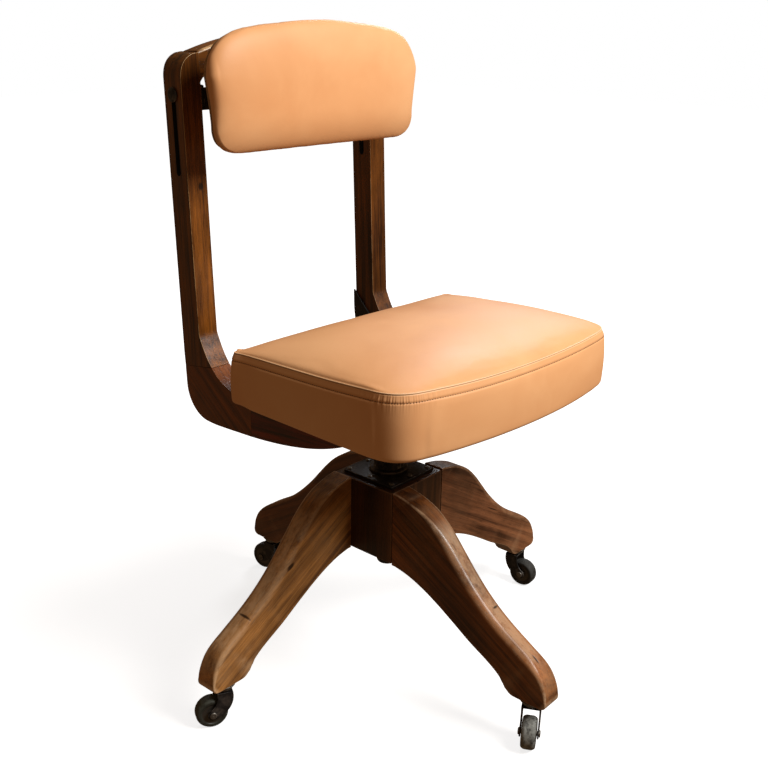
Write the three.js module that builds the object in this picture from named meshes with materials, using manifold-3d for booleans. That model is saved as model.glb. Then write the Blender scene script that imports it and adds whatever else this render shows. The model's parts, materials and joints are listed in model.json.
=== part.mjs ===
// Wooden swivel office chair: upholstered seat and back pad, timber back frame,
// screw column in a timber hub, and four S-shaped legs on swivelling casters.
// Millimetres, +Z up. The column axis is x = y = 0 and the chair faces -Y. Heights are drawn from a
// datum FLOOR_Z below the floor, and the finished chair is lowered by that much, so its floor is z = 0.
import * as THREE from "three";
import { mergeVertices } from "three/addons/utils/BufferGeometryUtils.js";
import Module from "manifold-3d";

const wasm = await Module();
wasm.setup();

// ---------------------------------------------------------------- driving dimensions
const GAP = 0.3;                 // clearance between pieces that touch
const DEG = Math.PI / 180;
const FLOOR_Z = 4;               // the floor, in the heights used below

const BASE_TURN = 3.1 * DEG;     // the base stands slightly turned under the seat

const HUB_HALF = 53.8;           // half the side of the square hub block
const HUB_BOTTOM = 179.3;
const HUB_TOP = 285.7;
const SLEEVE_OUT = 16.0;
const SLEEVE_IN = 12.3;
const PLATE_HALF = 45;
const PLATE_THICK = 4;
const PLATE_TOP = HUB_TOP + GAP + PLATE_THICK;
const SCREW_INSET = 6.5;
const SCREW_HEAD_R = 3.8;
const SCREW_HOLE_R = 2.6;

const LEG_WIDTH = 32.4;
const LEG_OFFSET = HUB_HALF - LEG_WIDTH / 2;   // each leg lies flush with one hub face
const LEG_BOTTOM = 66.5;
const LEG_BEVEL = 3;
const LEG_ROOT_BOTTOM = 177.5;   // the leg's underside where it meets the hub

const CASTER_REACH = 282;        // swivel axis to column axis, along the leg
const CASTER_TRAIL = 17;
const WHEEL_R = 21.5;
const WHEEL_WIDTH = 19;
const WHEEL_BOSS = 0.7;          // the wheel's hub stands this far out of its sides
const AXLE_Z = FLOOR_Z + WHEEL_R;
const AXLE_R = 3.0;
const FORK_INNER = 10.8;
const FORK_THICK = 1.9;
const FORK_HALF_LENGTH = 10.5;   // the fork's crown plate, along the trail
const STEM_FLANGE = 2.6;         // thickness of the stem's plate under the leg
const RACE_HEIGHT = 6;
const PIN_R = 4;

const SPINDLE_R = 11.8;
const SPINDLE_ROOT_R = 10.7;
const RUNNING_FIT = 0.35;        // clearance round the spindle in the nut and the seat socket
const THREAD_PITCH = 8;          // screw lead, also the coupling of nut and column
const SPINDLE_BOTTOM = 176;
const SPINDLE_TOP = 392;
const THREAD_FROM = 312;
const THREAD_TO = 352;
const NUT_FLANGE_R = 27;
const NUT_R = 20.5;
const NUT_HEIGHT = 17;

const SEAT_BACK_Y = 84;
const SEAT_FRONT_Y = -238;
const SEAT_HALF_W = 207.5;       // at the back edge
const SEAT_FLARE = 0.026;        // each side widens towards the front
const SEAT_BOW = 27;             // the front edge bulges by this much
const SEAT_FRONT_CORNER = 52;
const SEAT_BACK_CORNER = 10;
const SEAT_BOTTOM_AT_BACK = 418.6;
const SEAT_BOTTOM_SLOPE = -0.0277;
const SEAT_TOP_AT_BACK = 493.5;
const SEAT_TOP_SLOPE = -0.055;
const BOARD_THICK = 12;

const FRAME_OUTER_X = 180.6;
const FRAME_WIDTH = 30.1;        // timber width, seen from the front
const FRAME_INNER_X = FRAME_OUTER_X - FRAME_WIDTH;
const FRAME_DEPTH = 37.6;        // timber depth, seen from the side
const FRAME_LEAN = 0.043;        // backward lean of the uprights, mm per mm of height
const FRAME_BACK_AT_477 = 221;
const FRAME_BEVEL = 3.5;
const UPRIGHT_TOP = 846;
const UPRIGHT_CORNER_R = 30;
const CREST_MID_TOP = 867;
const CREST_ARCH = 0.00105;      // drop of the crest's top edge, per mm squared
const CREST_MID_BOTTOM = 822;
const CREST_BOTTOM_ARCH = 0.00052;
const CREST_THICK = 33;
const CORNER_R = 46.3;           // outer bend at the foot of each upright
const CORNER_CENTRE = [170.5, 407];
const RAIL_JOINT_Y = 78;         // butt joint between corner block and rail
const RAIL_NOSE_Y = -112;
const RAIL_UNDER_Z = 365.8;      // underside of rail and corner block at their joint
const GUSSET_THICK = 3;

const BATTEN_BOTTOM = 396;
const BATTEN_DEPTH = 42;
const BATTEN_CENTRE_Y = 54;
const SEAT_PLATE_HALF = 68;
const SEAT_PLATE_THICK = 4;
const SOCKET_DEPTH = 34;         // how far the plate's socket reaches down the spindle

const SLOT_LOW = 694;            // ends of the height slot, measured at the bolt centre
const SLOT_HIGH = 795;
const SLOT_WIDTH = 9;
const BOLT_Z = 791;
const BOLT_R = 3.9;
const BAR_HEIGHT = 28;
const BAR_THICK = 5;
const BAR_END_X = 146;           // outer face of the bar's end plates

const PAD_Z = 804;               // centre of the back pad
const PAD_REAR_Y = 149;
const PAD_HALF_TOP = 187;
const PAD_HALF_BOTTOM = 174;
const PAD_HEIGHT = 157;
const PAD_ARCH = 26;
const PAD_CORNER_TOP = 58;
const PAD_CORNER_BOTTOM = 36;
const PAD_THICK = 32;
const PAD_BOARD_THICK = 6;
const PAD_LEAN = 0.045;

// ---------------------------------------------------------------- materials
// Each sub-part gets a material of its own.
const finish = (color, roughness, metalness) => () =>
  new THREE.MeshStandardMaterial({ color, roughness, metalness });
const darkWood = finish(0x54301c, 0.5, 0);
const warmWood = finish(0x6b3f22, 0.5, 0);
const cornerWood = finish(0x3e2114, 0.5, 0);
const plywood = finish(0xa98558, 0.7, 0);
const blackSteel = finish(0x17181a, 0.5, 0.9);
const wornSteel = finish(0x5a5852, 0.45, 0.9);
const leather = finish(0xd9955f, 0.45, 0);
const rubber = finish(0x3a3a38, 0.85, 0);

// ---------------------------------------------------------------- solid helpers
function toSolid(geometry) {
  const bare = geometry.index ? geometry.toNonIndexed() : geometry.clone();
  bare.deleteAttribute("normal");
  bare.deleteAttribute("uv");
  const merged = mergeVertices(bare, 1e-4);
  const mesh = new wasm.Mesh({
    numProp: 3,
    vertProperties: new Float32Array(merged.attributes.position.array),
    triVerts: new Uint32Array(merged.index.array),
  });
  return new wasm.Manifold(mesh);
}

function toGeometry(solid) {
  const mesh = solid.getMesh();
  const geometry = new THREE.BufferGeometry();
  geometry.setAttribute("position", new THREE.BufferAttribute(new Float32Array(mesh.vertProperties), 3));
  geometry.setIndex(new THREE.BufferAttribute(new Uint32Array(mesh.triVerts), 1));
  geometry.computeVertexNormals();
  return geometry;
}

const cut = (a, ...tools) => toGeometry(tools.reduce((body, t) => body.subtract(toSolid(t)), toSolid(a)));
const join = (a, ...others) => toGeometry(others.reduce((body, t) => body.add(toSolid(t)), toSolid(a)));
const common = (a, b) => toGeometry(toSolid(a).intersect(toSolid(b)));

function box(x0, x1, y0, y1, z0, z1) {
  const geometry = new THREE.BoxGeometry(x1 - x0, y1 - y0, z1 - z0);
  return geometry.translate((x0 + x1) / 2, (y0 + y1) / 2, (z0 + z1) / 2);
}

// A turned piece about Z. The profile is a list of [radius, z] that closes on itself or on the axis.
function turned(profile, segments = 20) {
  const points = profile.map(([r, z]) => new THREE.Vector2(r, z));
  return new THREE.LatheGeometry(points, segments).rotateX(Math.PI / 2);
}

// A solid round bar about Z, from z0 up to z1.
const bar = (radius, z0, z1, segments = 20) =>
  turned([[0, z0], [radius, z0], [radius, z1], [0, z1]], segments);

// A ring or tube about Z, from z0 up to z1.
const tube = (inner, outer, z0, z1, segments = 20) =>
  turned([[inner, z0], [outer, z0], [outer, z1], [inner, z1], [inner, z0]], segments);

function shapeFrom(points) {
  return new THREE.Shape(points.map(([a, b]) => new THREE.Vector2(a, b)));
}

// A shape extruded up from z = 0, with square edges.
const plain = (shape, depth, curveSegments) =>
  new THREE.ExtrudeGeometry(shape, { depth, bevelEnabled: false, curveSegments });

// A shape extruded about z = 0, with its edges cut off at 45 degrees.
function bevelled(shape, width, bevel, curveSegments = 10) {
  return new THREE.ExtrudeGeometry(shape, {
    depth: width - 2 * bevel,
    bevelEnabled: bevel > 0,
    bevelThickness: bevel,
    bevelSize: bevel,
    bevelOffset: -bevel,
    bevelSegments: 1,
    curveSegments,
  }).translate(0, 0, bevel - width / 2);
}

// A side view drawn as [y, z], extruded across x and centred on x = 0.
function fromSide(shape, width, bevel = 0, curveSegments = 10) {
  return bevelled(shape, width, bevel, curveSegments).applyMatrix4(
    new THREE.Matrix4().makeBasis(
      new THREE.Vector3(0, 1, 0), new THREE.Vector3(0, 0, 1), new THREE.Vector3(1, 0, 0)));
}

// A front view drawn as [x, z], extruded from y = 0 back by depth.
function fromFront(shape, depth, bevel = 0, curveSegments = 10) {
  return bevelled(shape, depth, bevel, curveSegments).rotateX(Math.PI / 2).translate(0, depth / 2, 0);
}

// ---------------------------------------------------------------- shared lines of the design
const seatBottom = (y) => SEAT_BOTTOM_AT_BACK + SEAT_BOTTOM_SLOPE * (y - SEAT_BACK_Y);
const seatTop = (y) => SEAT_TOP_AT_BACK + SEAT_TOP_SLOPE * (y - SEAT_BACK_Y);
const frameBack = (z) => FRAME_BACK_AT_477 + FRAME_LEAN * (z - 477);
const frameFront = (z) => frameBack(z) - FRAME_DEPTH;

// The front edge of the frame's side view bends from the rail's top into the upright.
const FOOT_BEND = new THREE.QuadraticBezierCurve(
  new THREE.Vector2(112, seatBottom(112) - GAP), new THREE.Vector2(160, 423), new THREE.Vector2(183.6, 482));
const BEND_SPLIT = 0.57;         // where the upright meets the corner block along that bend
const SEAM_BACK_Z = 431;

function bendPoints(from, to, steps = 6) {
  return Array.from({ length: steps + 1 }, (_, i) => {
    const point = FOOT_BEND.getPoint(from + (to - from) * i / steps);
    return [point.x, point.y];
  });
}

// ---------------------------------------------------------------- the part and its groups
const chair = new THREE.Group();
const base = new THREE.Group();
base.rotation.z = BASE_TURN;
chair.add(base);

function add(group, name, geometry, material) {
  const mesh = new THREE.Mesh(geometry, material());
  mesh.name = name;
  group.add(mesh);
  return mesh;
}

// ---------------------------------------------------------------- hub
function squareShape(half, corner) {
  const shape = new THREE.Shape();
  shape.moveTo(-half + corner, -half);
  for (const turn of [0, 1, 2, 3]) {
    const [cx, cy] = [[1, -1], [1, 1], [-1, 1], [-1, -1]][turn].map((s) => s * (half - corner));
    shape.absarc(cx, cy, corner, (turn - 1) * Math.PI / 2, turn * Math.PI / 2, false);
  }
  return shape;
}

function roundHole(x, y, r) {
  const hole = new THREE.Path();
  hole.absarc(x, y, r, 0, 2 * Math.PI, true);
  return hole;
}

function hubBlock() {
  const shape = squareShape(HUB_HALF, 1.2);
  shape.holes.push(roundHole(0, 0, SLEEVE_OUT + GAP));
  return plain(shape, HUB_TOP - HUB_BOTTOM, 12).translate(0, 0, HUB_BOTTOM);
}

function screwPlaces() {
  const reach = PLATE_HALF - SCREW_INSET;
  const steps = [-1, 0, 1];
  return steps.flatMap((i) => steps.map((j) => [i * reach, j * reach])).filter(([x, y]) => x || y);
}

function hubPlate() {
  const shape = squareShape(PLATE_HALF, 2.5);
  shape.holes.push(roundHole(0, 0, SLEEVE_OUT + 1));
  for (const [x, y] of screwPlaces()) shape.holes.push(roundHole(x, y, SCREW_HOLE_R));
  return plain(shape, PLATE_THICK, 6).translate(0, 0, HUB_TOP + GAP);
}

function plateScrew() {
  const seatZ = PLATE_TOP + GAP;
  const shankR = SCREW_HOLE_R - GAP;
  return turned([
    [0, seatZ - PLATE_THICK], [shankR, seatZ - PLATE_THICK], [shankR, seatZ],
    [SCREW_HEAD_R, seatZ], [SCREW_HEAD_R * 0.8, seatZ + 1.3], [0, seatZ + 1.9],
  ], 10);
}

function hubCap() {
  const top = HUB_BOTTOM - GAP;
  const bore = SLEEVE_IN + 0.3;
  return turned([
    [0, top - 36], [9, top - 36], [14, top - 34], [15.5, top - 30], [15.5, top - 4.5],
    [19.5, top - 4], [19.5, top], [bore, top], [bore, top - 30.5], [0, top - 30.5],
  ], 20);
}

add(base, "hub_block", hubBlock(), darkWood);
add(base, "hub_sleeve", tube(SLEEVE_IN, SLEEVE_OUT, HUB_BOTTOM + GAP, PLATE_TOP - GAP), blackSteel);
add(base, "hub_plate", hubPlate(), blackSteel);
add(base, "hub_cap", hubCap(), blackSteel);
screwPlaces().forEach(([x, y], i) => {
  add(base, `plate_screw_${i + 1}`, plateScrew(), wornSteel).position.set(x, y, 0);
});

// ---------------------------------------------------------------- legs
// Side view of a leg as [distance from the column axis, z].
function legShape() {
  const inner = HUB_HALF - 8;
  const shape = new THREE.Shape();
  shape.moveTo(inner, LEG_ROOT_BOTTOM);
  shape.lineTo(HUB_HALF + 6, LEG_ROOT_BOTTOM);
  shape.bezierCurveTo(100, 172, 132, 152, 186, 118);
  shape.bezierCurveTo(212, 103, 232, 96, 246, 79);
  shape.quadraticCurveTo(253, LEG_BOTTOM, 262, LEG_BOTTOM);
  shape.lineTo(301, LEG_BOTTOM);
  shape.quadraticCurveTo(311, LEG_BOTTOM, 311, LEG_BOTTOM + 10);
  shape.bezierCurveTo(309, 104, 297, 118, 272, 133);
  shape.bezierCurveTo(236, 154, 214, 166, 178, 205);
  shape.bezierCurveTo(150, 236, 128, 272, 78, 283);
  shape.quadraticCurveTo(66, 286, inner, 289);
  return shape;
}

function leg() {
  const limb = fromSide(legShape(), LEG_WIDTH, LEG_BEVEL, 5);
  const clearHub = HUB_HALF + GAP;
  return cut(limb, box(-100, 100, -clearHub, clearHub, 0, 400));
}

// Pinwheel layout: each leg is set off to one side, so it lies flush with a hub face.
const LEG_TURNS = { rear: 0, left: 90, front: 180, right: 270 };
const legTurn = (name) => LEG_TURNS[name] * DEG;

for (const name of Object.keys(LEG_TURNS)) {
  const arm = new THREE.Group();
  arm.rotation.z = legTurn(name);
  base.add(arm);
  add(arm, `leg_${name}`, leg(), warmWood).position.x = LEG_OFFSET;
}

// ---------------------------------------------------------------- casters
const CASTER_HEADINGS = { rear: 96, left: 152, front: 208, right: 275 };   // trail direction, degrees

const FORK_TOP = LEG_BOTTOM - GAP - STEM_FLANGE - GAP - RACE_HEIGHT - GAP;

// Drawn about the swivel axis, with the wheel trailing towards +X.
function casterStem() {
  const top = LEG_BOTTOM - GAP;
  const pinFoot = FORK_TOP - FORK_THICK - GAP;
  return turned([
    [0, pinFoot - 2], [4.5, pinFoot - 2], [6.5, pinFoot], [PIN_R, pinFoot], [PIN_R, top - STEM_FLANGE],
    [15.5, top - STEM_FLANGE], [16.5, top - STEM_FLANGE + 1], [16.5, top], [0, top],
  ], 14);
}

function casterRace() {
  const top = LEG_BOTTOM - GAP - STEM_FLANGE - GAP;
  const foot = top - RACE_HEIGHT;
  const bore = PIN_R + 0.6;
  return turned([
    [bore, foot], [10.5, foot], [13.2, foot + 2.6], [13.2, top - 1.4], [11, top], [bore, top], [bore, foot],
  ], 14);
}

// Side view of one fork arm as [trail, z].
function forkArmShape() {
  const shape = new THREE.Shape();
  const eyeR = 7.2;
  shape.moveTo(-FORK_HALF_LENGTH, FORK_TOP);
  shape.bezierCurveTo(-12.5, FORK_TOP - 14, -8, AXLE_Z + 2, CASTER_TRAIL - 5, AXLE_Z - eyeR + 1);
  shape.absarc(CASTER_TRAIL, AXLE_Z, eyeR, -110 * DEG, 35 * DEG, false);
  shape.bezierCurveTo(15, AXLE_Z + 11, 9, AXLE_Z + 16, FORK_HALF_LENGTH, FORK_TOP);
  shape.holes.push(roundHole(CASTER_TRAIL, AXLE_Z, AXLE_R + 0.5));
  return shape;
}

function casterFork() {
  const arm = () => plain(forkArmShape(), FORK_THICK, 5).rotateX(Math.PI / 2);
  const armLeft = arm().translate(0, FORK_INNER + FORK_THICK, 0);
  const armRight = arm().translate(0, -FORK_INNER, 0);
  const reach = FORK_INNER + FORK_THICK;
  const crown = box(-FORK_HALF_LENGTH, FORK_HALF_LENGTH, -reach, reach, FORK_TOP - FORK_THICK, FORK_TOP);
  const pinHole = bar(PIN_R + 0.6, FORK_TOP - 10, FORK_TOP + 10, 12);
  return cut(join(crown, armLeft, armRight), pinHole);
}

// Turned about its own axle, which lies along Y once placed.
function casterAxle() {
  const reach = FORK_INNER + FORK_THICK + GAP;
  const head = 1.6;
  return turned([
    [0, -reach - head], [3.8, -reach - head], [4.8, -reach - 0.8], [4.8, -reach], [AXLE_R, -reach],
    [AXLE_R, reach], [4.8, reach], [4.8, reach + 0.8], [3.8, reach + head], [0, reach + head],
  ], 12).rotateX(Math.PI / 2);
}

function casterWheel() {
  const half = WHEEL_WIDTH / 2;
  const bore = AXLE_R + 0.1;
  const boss = half + WHEEL_BOSS;
  const dish = half - 1.5;
  const profile = [
    [bore, -boss], [6, -boss], [6, -dish], [14, -dish], [15, -half], [19, -half], [WHEEL_R, -half + 4],
    [WHEEL_R, half - 4], [19, half], [15, half], [14, dish], [6, dish], [6, boss], [bore, boss],
  ];
  return turned([...profile, profile[0]], 20).rotateX(Math.PI / 2);
}

for (const name of Object.keys(LEG_TURNS)) {
  const arm = new THREE.Group();
  arm.rotation.z = legTurn(name);
  base.add(arm);
  const swivel = new THREE.Group();
  swivel.position.set(LEG_OFFSET, CASTER_REACH, 0);
  swivel.rotation.z = CASTER_HEADINGS[name] * DEG - legTurn(name);
  arm.add(swivel);
  add(swivel, `caster_stem_${name}`, casterStem(), wornSteel);
  add(swivel, `caster_race_${name}`, casterRace(), wornSteel);
  add(swivel, `caster_fork_${name}`, casterFork(), blackSteel);
  add(swivel, `caster_axle_${name}`, casterAxle(), wornSteel).position.set(CASTER_TRAIL, 0, AXLE_Z);
  add(swivel, `caster_wheel_${name}`, casterWheel(), rubber).position.set(CASTER_TRAIL, 0, AXLE_Z);
}

// ---------------------------------------------------------------- screw column
function spindle() {
  const profile = [[0, SPINDLE_BOTTOM], [SPINDLE_ROOT_R, SPINDLE_BOTTOM], [SPINDLE_R, SPINDLE_BOTTOM + 1.5]];
  for (let z = THREAD_FROM; z < THREAD_TO; z += THREAD_PITCH) {
    profile.push([SPINDLE_R, z], [SPINDLE_ROOT_R, z + 3], [SPINDLE_R, z + 6]);
  }
  profile.push([SPINDLE_R, SPINDLE_TOP - 1.5], [SPINDLE_ROOT_R, SPINDLE_TOP], [0, SPINDLE_TOP]);
  return turned(profile, 20);
}

// Ring nut that stands on the hub plate: a flange below a gripping ring with notches.
function heightNut() {
  const foot = PLATE_TOP + GAP;
  const bore = SPINDLE_R + RUNNING_FIT;
  const ring = turned([
    [bore, foot], [NUT_FLANGE_R - 1, foot], [NUT_FLANGE_R, foot + 1], [NUT_FLANGE_R, foot + 3.2],
    [NUT_FLANGE_R - 1.2, foot + 4.2], [NUT_R, foot + 5], [NUT_R, foot + NUT_HEIGHT - 1.5],
    [NUT_R - 1.5, foot + NUT_HEIGHT], [bore, foot + NUT_HEIGHT], [bore, foot],
  ], 24);
  const notches = Array.from({ length: 6 }, (_, i) => {
    const notch = new THREE.CylinderGeometry(3, 3, NUT_HEIGHT, 6).rotateX(Math.PI / 2);
    return notch.translate(NUT_R + 1, 0, foot + 6 + NUT_HEIGHT / 2).rotateZ(i * Math.PI / 3);
  });
  return cut(ring, ...notches);
}

add(chair, "spindle", spindle(), wornSteel);
add(chair, "height_nut", heightNut(), blackSteel);

// ---------------------------------------------------------------- seat
// Plan of the seat as [x, y], with straight sides, rounded front corners and a bowed front.
function seatOutline(inset) {
  const back = SEAT_BACK_Y - inset;
  const frontCorner = SEAT_FRONT_Y + SEAT_BOW + inset;
  const halfAt = (y) => SEAT_HALF_W + SEAT_FLARE * (SEAT_BACK_Y - y) - inset;
  const half = halfAt(frontCorner);
  const radius = (half * half + SEAT_BOW * SEAT_BOW) / (2 * SEAT_BOW);
  const arcCentre = SEAT_FRONT_Y + inset + radius;
  const corner = SEAT_FRONT_CORNER * 0.8;
  const sideStart = frontCorner + corner;
  const arcAngle = Math.asin(half / radius) - corner / radius;
  const shape = new THREE.Shape();
  shape.moveTo(-halfAt(back) + SEAT_BACK_CORNER, back);
  shape.quadraticCurveTo(-halfAt(back), back, -halfAt(back), back - SEAT_BACK_CORNER);
  shape.lineTo(-halfAt(sideStart), sideStart);
  shape.quadraticCurveTo(-half, frontCorner,
    -radius * Math.sin(arcAngle), arcCentre - radius * Math.cos(arcAngle));
  shape.absarc(0, arcCentre, radius, -Math.PI / 2 - arcAngle, -Math.PI / 2 + arcAngle, false);
  shape.quadraticCurveTo(half, frontCorner, halfAt(sideStart), sideStart);
  shape.lineTo(halfAt(back), back - SEAT_BACK_CORNER);
  shape.quadraticCurveTo(halfAt(back), back, halfAt(back) - SEAT_BACK_CORNER, back);
  return shape;
}

// A slab with the seat's plan, between two sloping planes given as functions of y.
function seatSlab(inset, lower, upper) {
  const slab = plain(seatOutline(inset), 1, 8);
  const position = slab.attributes.position;
  for (let i = 0; i < position.count; i += 1) {
    const y = position.getY(i);
    position.setZ(i, position.getZ(i) > 0.5 ? upper(y) : lower(y));
  }
  return slab;
}

const boardTop = (y) => seatBottom(y) + BOARD_THICK;
add(chair, "seat_board", seatSlab(7, seatBottom, boardTop), plywood);
add(chair, "seat_cushion", seatSlab(0, (y) => boardTop(y) + GAP, seatTop), leather);

// ---------------------------------------------------------------- seat support
function batten(centreY) {
  const y0 = centreY - BATTEN_DEPTH / 2;
  const y1 = centreY + BATTEN_DEPTH / 2;
  const side = shapeFrom([
    [y0, BATTEN_BOTTOM], [y1, BATTEN_BOTTOM], [y1, seatBottom(y1) - GAP], [y0, seatBottom(y0) - GAP]]);
  return fromSide(side, 2 * (FRAME_INNER_X - GAP));
}

// Flat plate under the battens with a socket that the spindle turns in.
function seatPlate() {
  const top = BATTEN_BOTTOM - GAP;
  const under = top - SEAT_PLATE_THICK;
  const shape = squareShape(SEAT_PLATE_HALF, 12);
  const plate = plain(shape, SEAT_PLATE_THICK, 6).translate(0, 0, under);
  const socket = turned([
    [0, under - SOCKET_DEPTH], [19, under - SOCKET_DEPTH], [21, under - SOCKET_DEPTH + 3], [21, under - 8],
    [34, under + 1], [0, under + 1],
  ]);
  const boreR = SPINDLE_R + RUNNING_FIT;
  const bore = bar(boreR, under - 60, SPINDLE_TOP + GAP);
  return cut(join(plate, socket), bore);
}

add(chair, "batten_front", batten(-BATTEN_CENTRE_Y), warmWood);
add(chair, "batten_rear", batten(BATTEN_CENTRE_Y), warmWood);
add(chair, "seat_plate", seatPlate(), blackSteel);

// ---------------------------------------------------------------- back frame
function railShape() {
  const top = (y) => seatBottom(y) - GAP;
  const joint = RAIL_JOINT_Y - GAP;
  const shape = new THREE.Shape();
  shape.moveTo(joint, top(joint));
  shape.lineTo(RAIL_NOSE_Y + 10, top(RAIL_NOSE_Y));
  shape.quadraticCurveTo(RAIL_NOSE_Y - 7, top(RAIL_NOSE_Y), RAIL_NOSE_Y + 3, 412);
  shape.bezierCurveTo(-60, 385, 10, 372, joint, RAIL_UNDER_Z);
  return shape;
}

function cornerShape() {
  const [cy, cz] = CORNER_CENTRE;
  const seam = BEND_SPLIT - 0.008;
  const shape = new THREE.Shape();
  shape.moveTo(RAIL_JOINT_Y, RAIL_UNDER_Z);
  shape.lineTo(cy - 20, cz - CORNER_R);
  shape.absarc(cy, cz, CORNER_R, -Math.PI / 2, -4 * DEG, false);
  shape.lineTo(frameBack(SEAM_BACK_Z) - 0.8, SEAM_BACK_Z - GAP);
  for (const [y, z] of bendPoints(seam, 0)) shape.lineTo(y, z);
  shape.lineTo(RAIL_JOINT_Y, seatBottom(RAIL_JOINT_Y) - GAP);
  return shape;
}

function uprightShape() {
  const shape = new THREE.Shape();
  const [seamY, seamZ] = bendPoints(BEND_SPLIT, 1)[0];
  shape.moveTo(seamY, seamZ);
  shape.lineTo(frameBack(SEAM_BACK_Z) - 0.8, SEAM_BACK_Z);
  shape.lineTo(frameBack(450), 450);
  shape.lineTo(frameBack(UPRIGHT_TOP), UPRIGHT_TOP);
  shape.lineTo(frameFront(UPRIGHT_TOP), UPRIGHT_TOP);
  shape.lineTo(frameFront(500), 500);
  for (const [y, z] of bendPoints(1, BEND_SPLIT).slice(0, -1)) shape.lineTo(y, z);
  return shape;
}

// Front view that rounds the upright's outer top corner, for the upright at +x.
function uprightFrontView() {
  const half = FRAME_WIDTH / 2;
  const shape = new THREE.Shape();
  shape.moveTo(-half, 400);
  shape.lineTo(half, 400);
  shape.lineTo(half, UPRIGHT_TOP - UPRIGHT_CORNER_R - 2);
  shape.quadraticCurveTo(half, UPRIGHT_TOP - 12, half - UPRIGHT_CORNER_R * 0.62, UPRIGHT_TOP - 5);
  shape.lineTo(-half, UPRIGHT_TOP - 2);
  return shape;
}

function slotCutter() {
  const slot = new THREE.Shape();
  const r = SLOT_WIDTH / 2;
  const midY = (z) => frameBack(z) - FRAME_DEPTH / 2;
  slot.absarc(midY(SLOT_LOW), SLOT_LOW, r, Math.PI, 2 * Math.PI, false);
  slot.absarc(midY(SLOT_HIGH), SLOT_HIGH, r, 0, Math.PI, false);
  return fromSide(slot, 80, 0, 6);
}

function upright(side) {
  const stick = fromSide(uprightShape(), FRAME_WIDTH, FRAME_BEVEL, 4);
  const front = fromFront(uprightFrontView(), 200, 0, 7).translate(0, RAIL_JOINT_Y, 0);
  const solid = cut(common(stick, front), slotCutter());
  return side > 0 ? solid : mirrored(solid);
}

function mirrored(geometry) {
  const flipped = geometry.clone().scale(-1, 1, 1);
  const index = flipped.index.array;
  for (let i = 0; i < index.length; i += 3) [index[i], index[i + 1]] = [index[i + 1], index[i]];
  return flipped;
}

function crestRail() {
  const half = FRAME_INNER_X - GAP;
  const top = (x) => CREST_MID_TOP - CREST_ARCH * x * x;
  const bottom = (x) => CREST_MID_BOTTOM - CREST_BOTTOM_ARCH * x * x;
  const steps = 12;
  const across = Array.from({ length: steps + 1 }, (_, i) => -half + 2 * half * i / steps);
  const outline = [...across.map((x) => [x, bottom(x)]), ...across.reverse().map((x) => [x, top(x)])];
  const rail = bevelled(shapeFrom(outline.map(([x, z]) => [x, z - UPRIGHT_TOP])), CREST_THICK, 3, 4);
  rail.rotateX(Math.PI / 2 - Math.atan(FRAME_LEAN));
  return rail.translate(0, frameBack(UPRIGHT_TOP) - FRAME_DEPTH / 2, UPRIGHT_TOP);
}

function gussetShape() {
  const [cy, cz] = CORNER_CENTRE;
  const shape = new THREE.Shape();
  shape.moveTo(98, 371);
  shape.lineTo(cy - 10, cz - CORNER_R + 5);
  shape.absarc(cy, cz, CORNER_R - 5, -Math.PI / 2, -20 * DEG, false);
  shape.lineTo(221, 440);
  shape.lineTo(223.4, 480);
  shape.lineTo(158, 416);
  shape.lineTo(98, 408);
  return shape;
}

for (const [side, name] of [[-1, "left"], [1, "right"]]) {
  const x = side * (FRAME_OUTER_X - FRAME_WIDTH / 2);
  const gussetX = side * (FRAME_INNER_X - GAP - GUSSET_THICK / 2);
  add(chair, `rail_${name}`, fromSide(railShape(), FRAME_WIDTH, 2, 10), darkWood).position.x = x;
  add(chair, `corner_block_${name}`, fromSide(cornerShape(), FRAME_WIDTH, 2, 8), cornerWood).position.x = x;
  add(chair, `upright_${name}`, upright(side), darkWood).position.x = x;
  const gusset = fromSide(gussetShape(), GUSSET_THICK, 0, 6);
  add(chair, `gusset_${name}`, gusset, blackSteel).position.x = gussetX;
}
add(chair, "crest_rail", crestRail(), darkWood);

// ---------------------------------------------------------------- back rest
const boltY = frameBack(BOLT_Z) - FRAME_DEPTH / 2;
const BAR_Y = boltY - 8;         // rear face of the bar
const BAR_LOW = BOLT_Z - 20;
const ARM_X = 70;

// Bolt through the slot: dished head outside, shank inwards through the bar's end plate, nut inside.
function slotBolt(side) {
  const outer = FRAME_OUTER_X + GAP;
  const inner = BAR_END_X - 4 - GAP;
  return turned([
    [0, inner - 6], [6.5, inner - 6], [6.5, inner], [BOLT_R, inner], [BOLT_R, outer],
    [9.5, outer], [9.5, outer + 1.8], [6, outer + 3.6], [0, outer + 4.2],
  ], 14).rotateY(side * Math.PI / 2).translate(0, boltY, BOLT_Z);
}

// Flat bar behind the pad, with end plates that turn on the slot bolts.
function pivotBar() {
  const low = BAR_LOW;
  const high = low + BAR_HEIGHT;
  const strip = box(-BAR_END_X, BAR_END_X, BAR_Y - BAR_THICK, BAR_Y, low, high);
  const endPlates = [-1, 1].map((side) => {
    const shape = new THREE.Shape();
    shape.moveTo(BAR_Y - BAR_THICK, low);
    shape.lineTo(boltY, low + 4);
    shape.absarc(boltY, BOLT_Z, 13, -70 * DEG, 115 * DEG, false);
    shape.lineTo(BAR_Y - BAR_THICK, high + 3);
    shape.holes.push(roundHole(boltY, BOLT_Z, BOLT_R + 0.1));
    return fromSide(shape, 4, 0, 8).translate(side * (BAR_END_X - 2), 0, 0);
  });
  return join(strip, ...endPlates);
}

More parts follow.
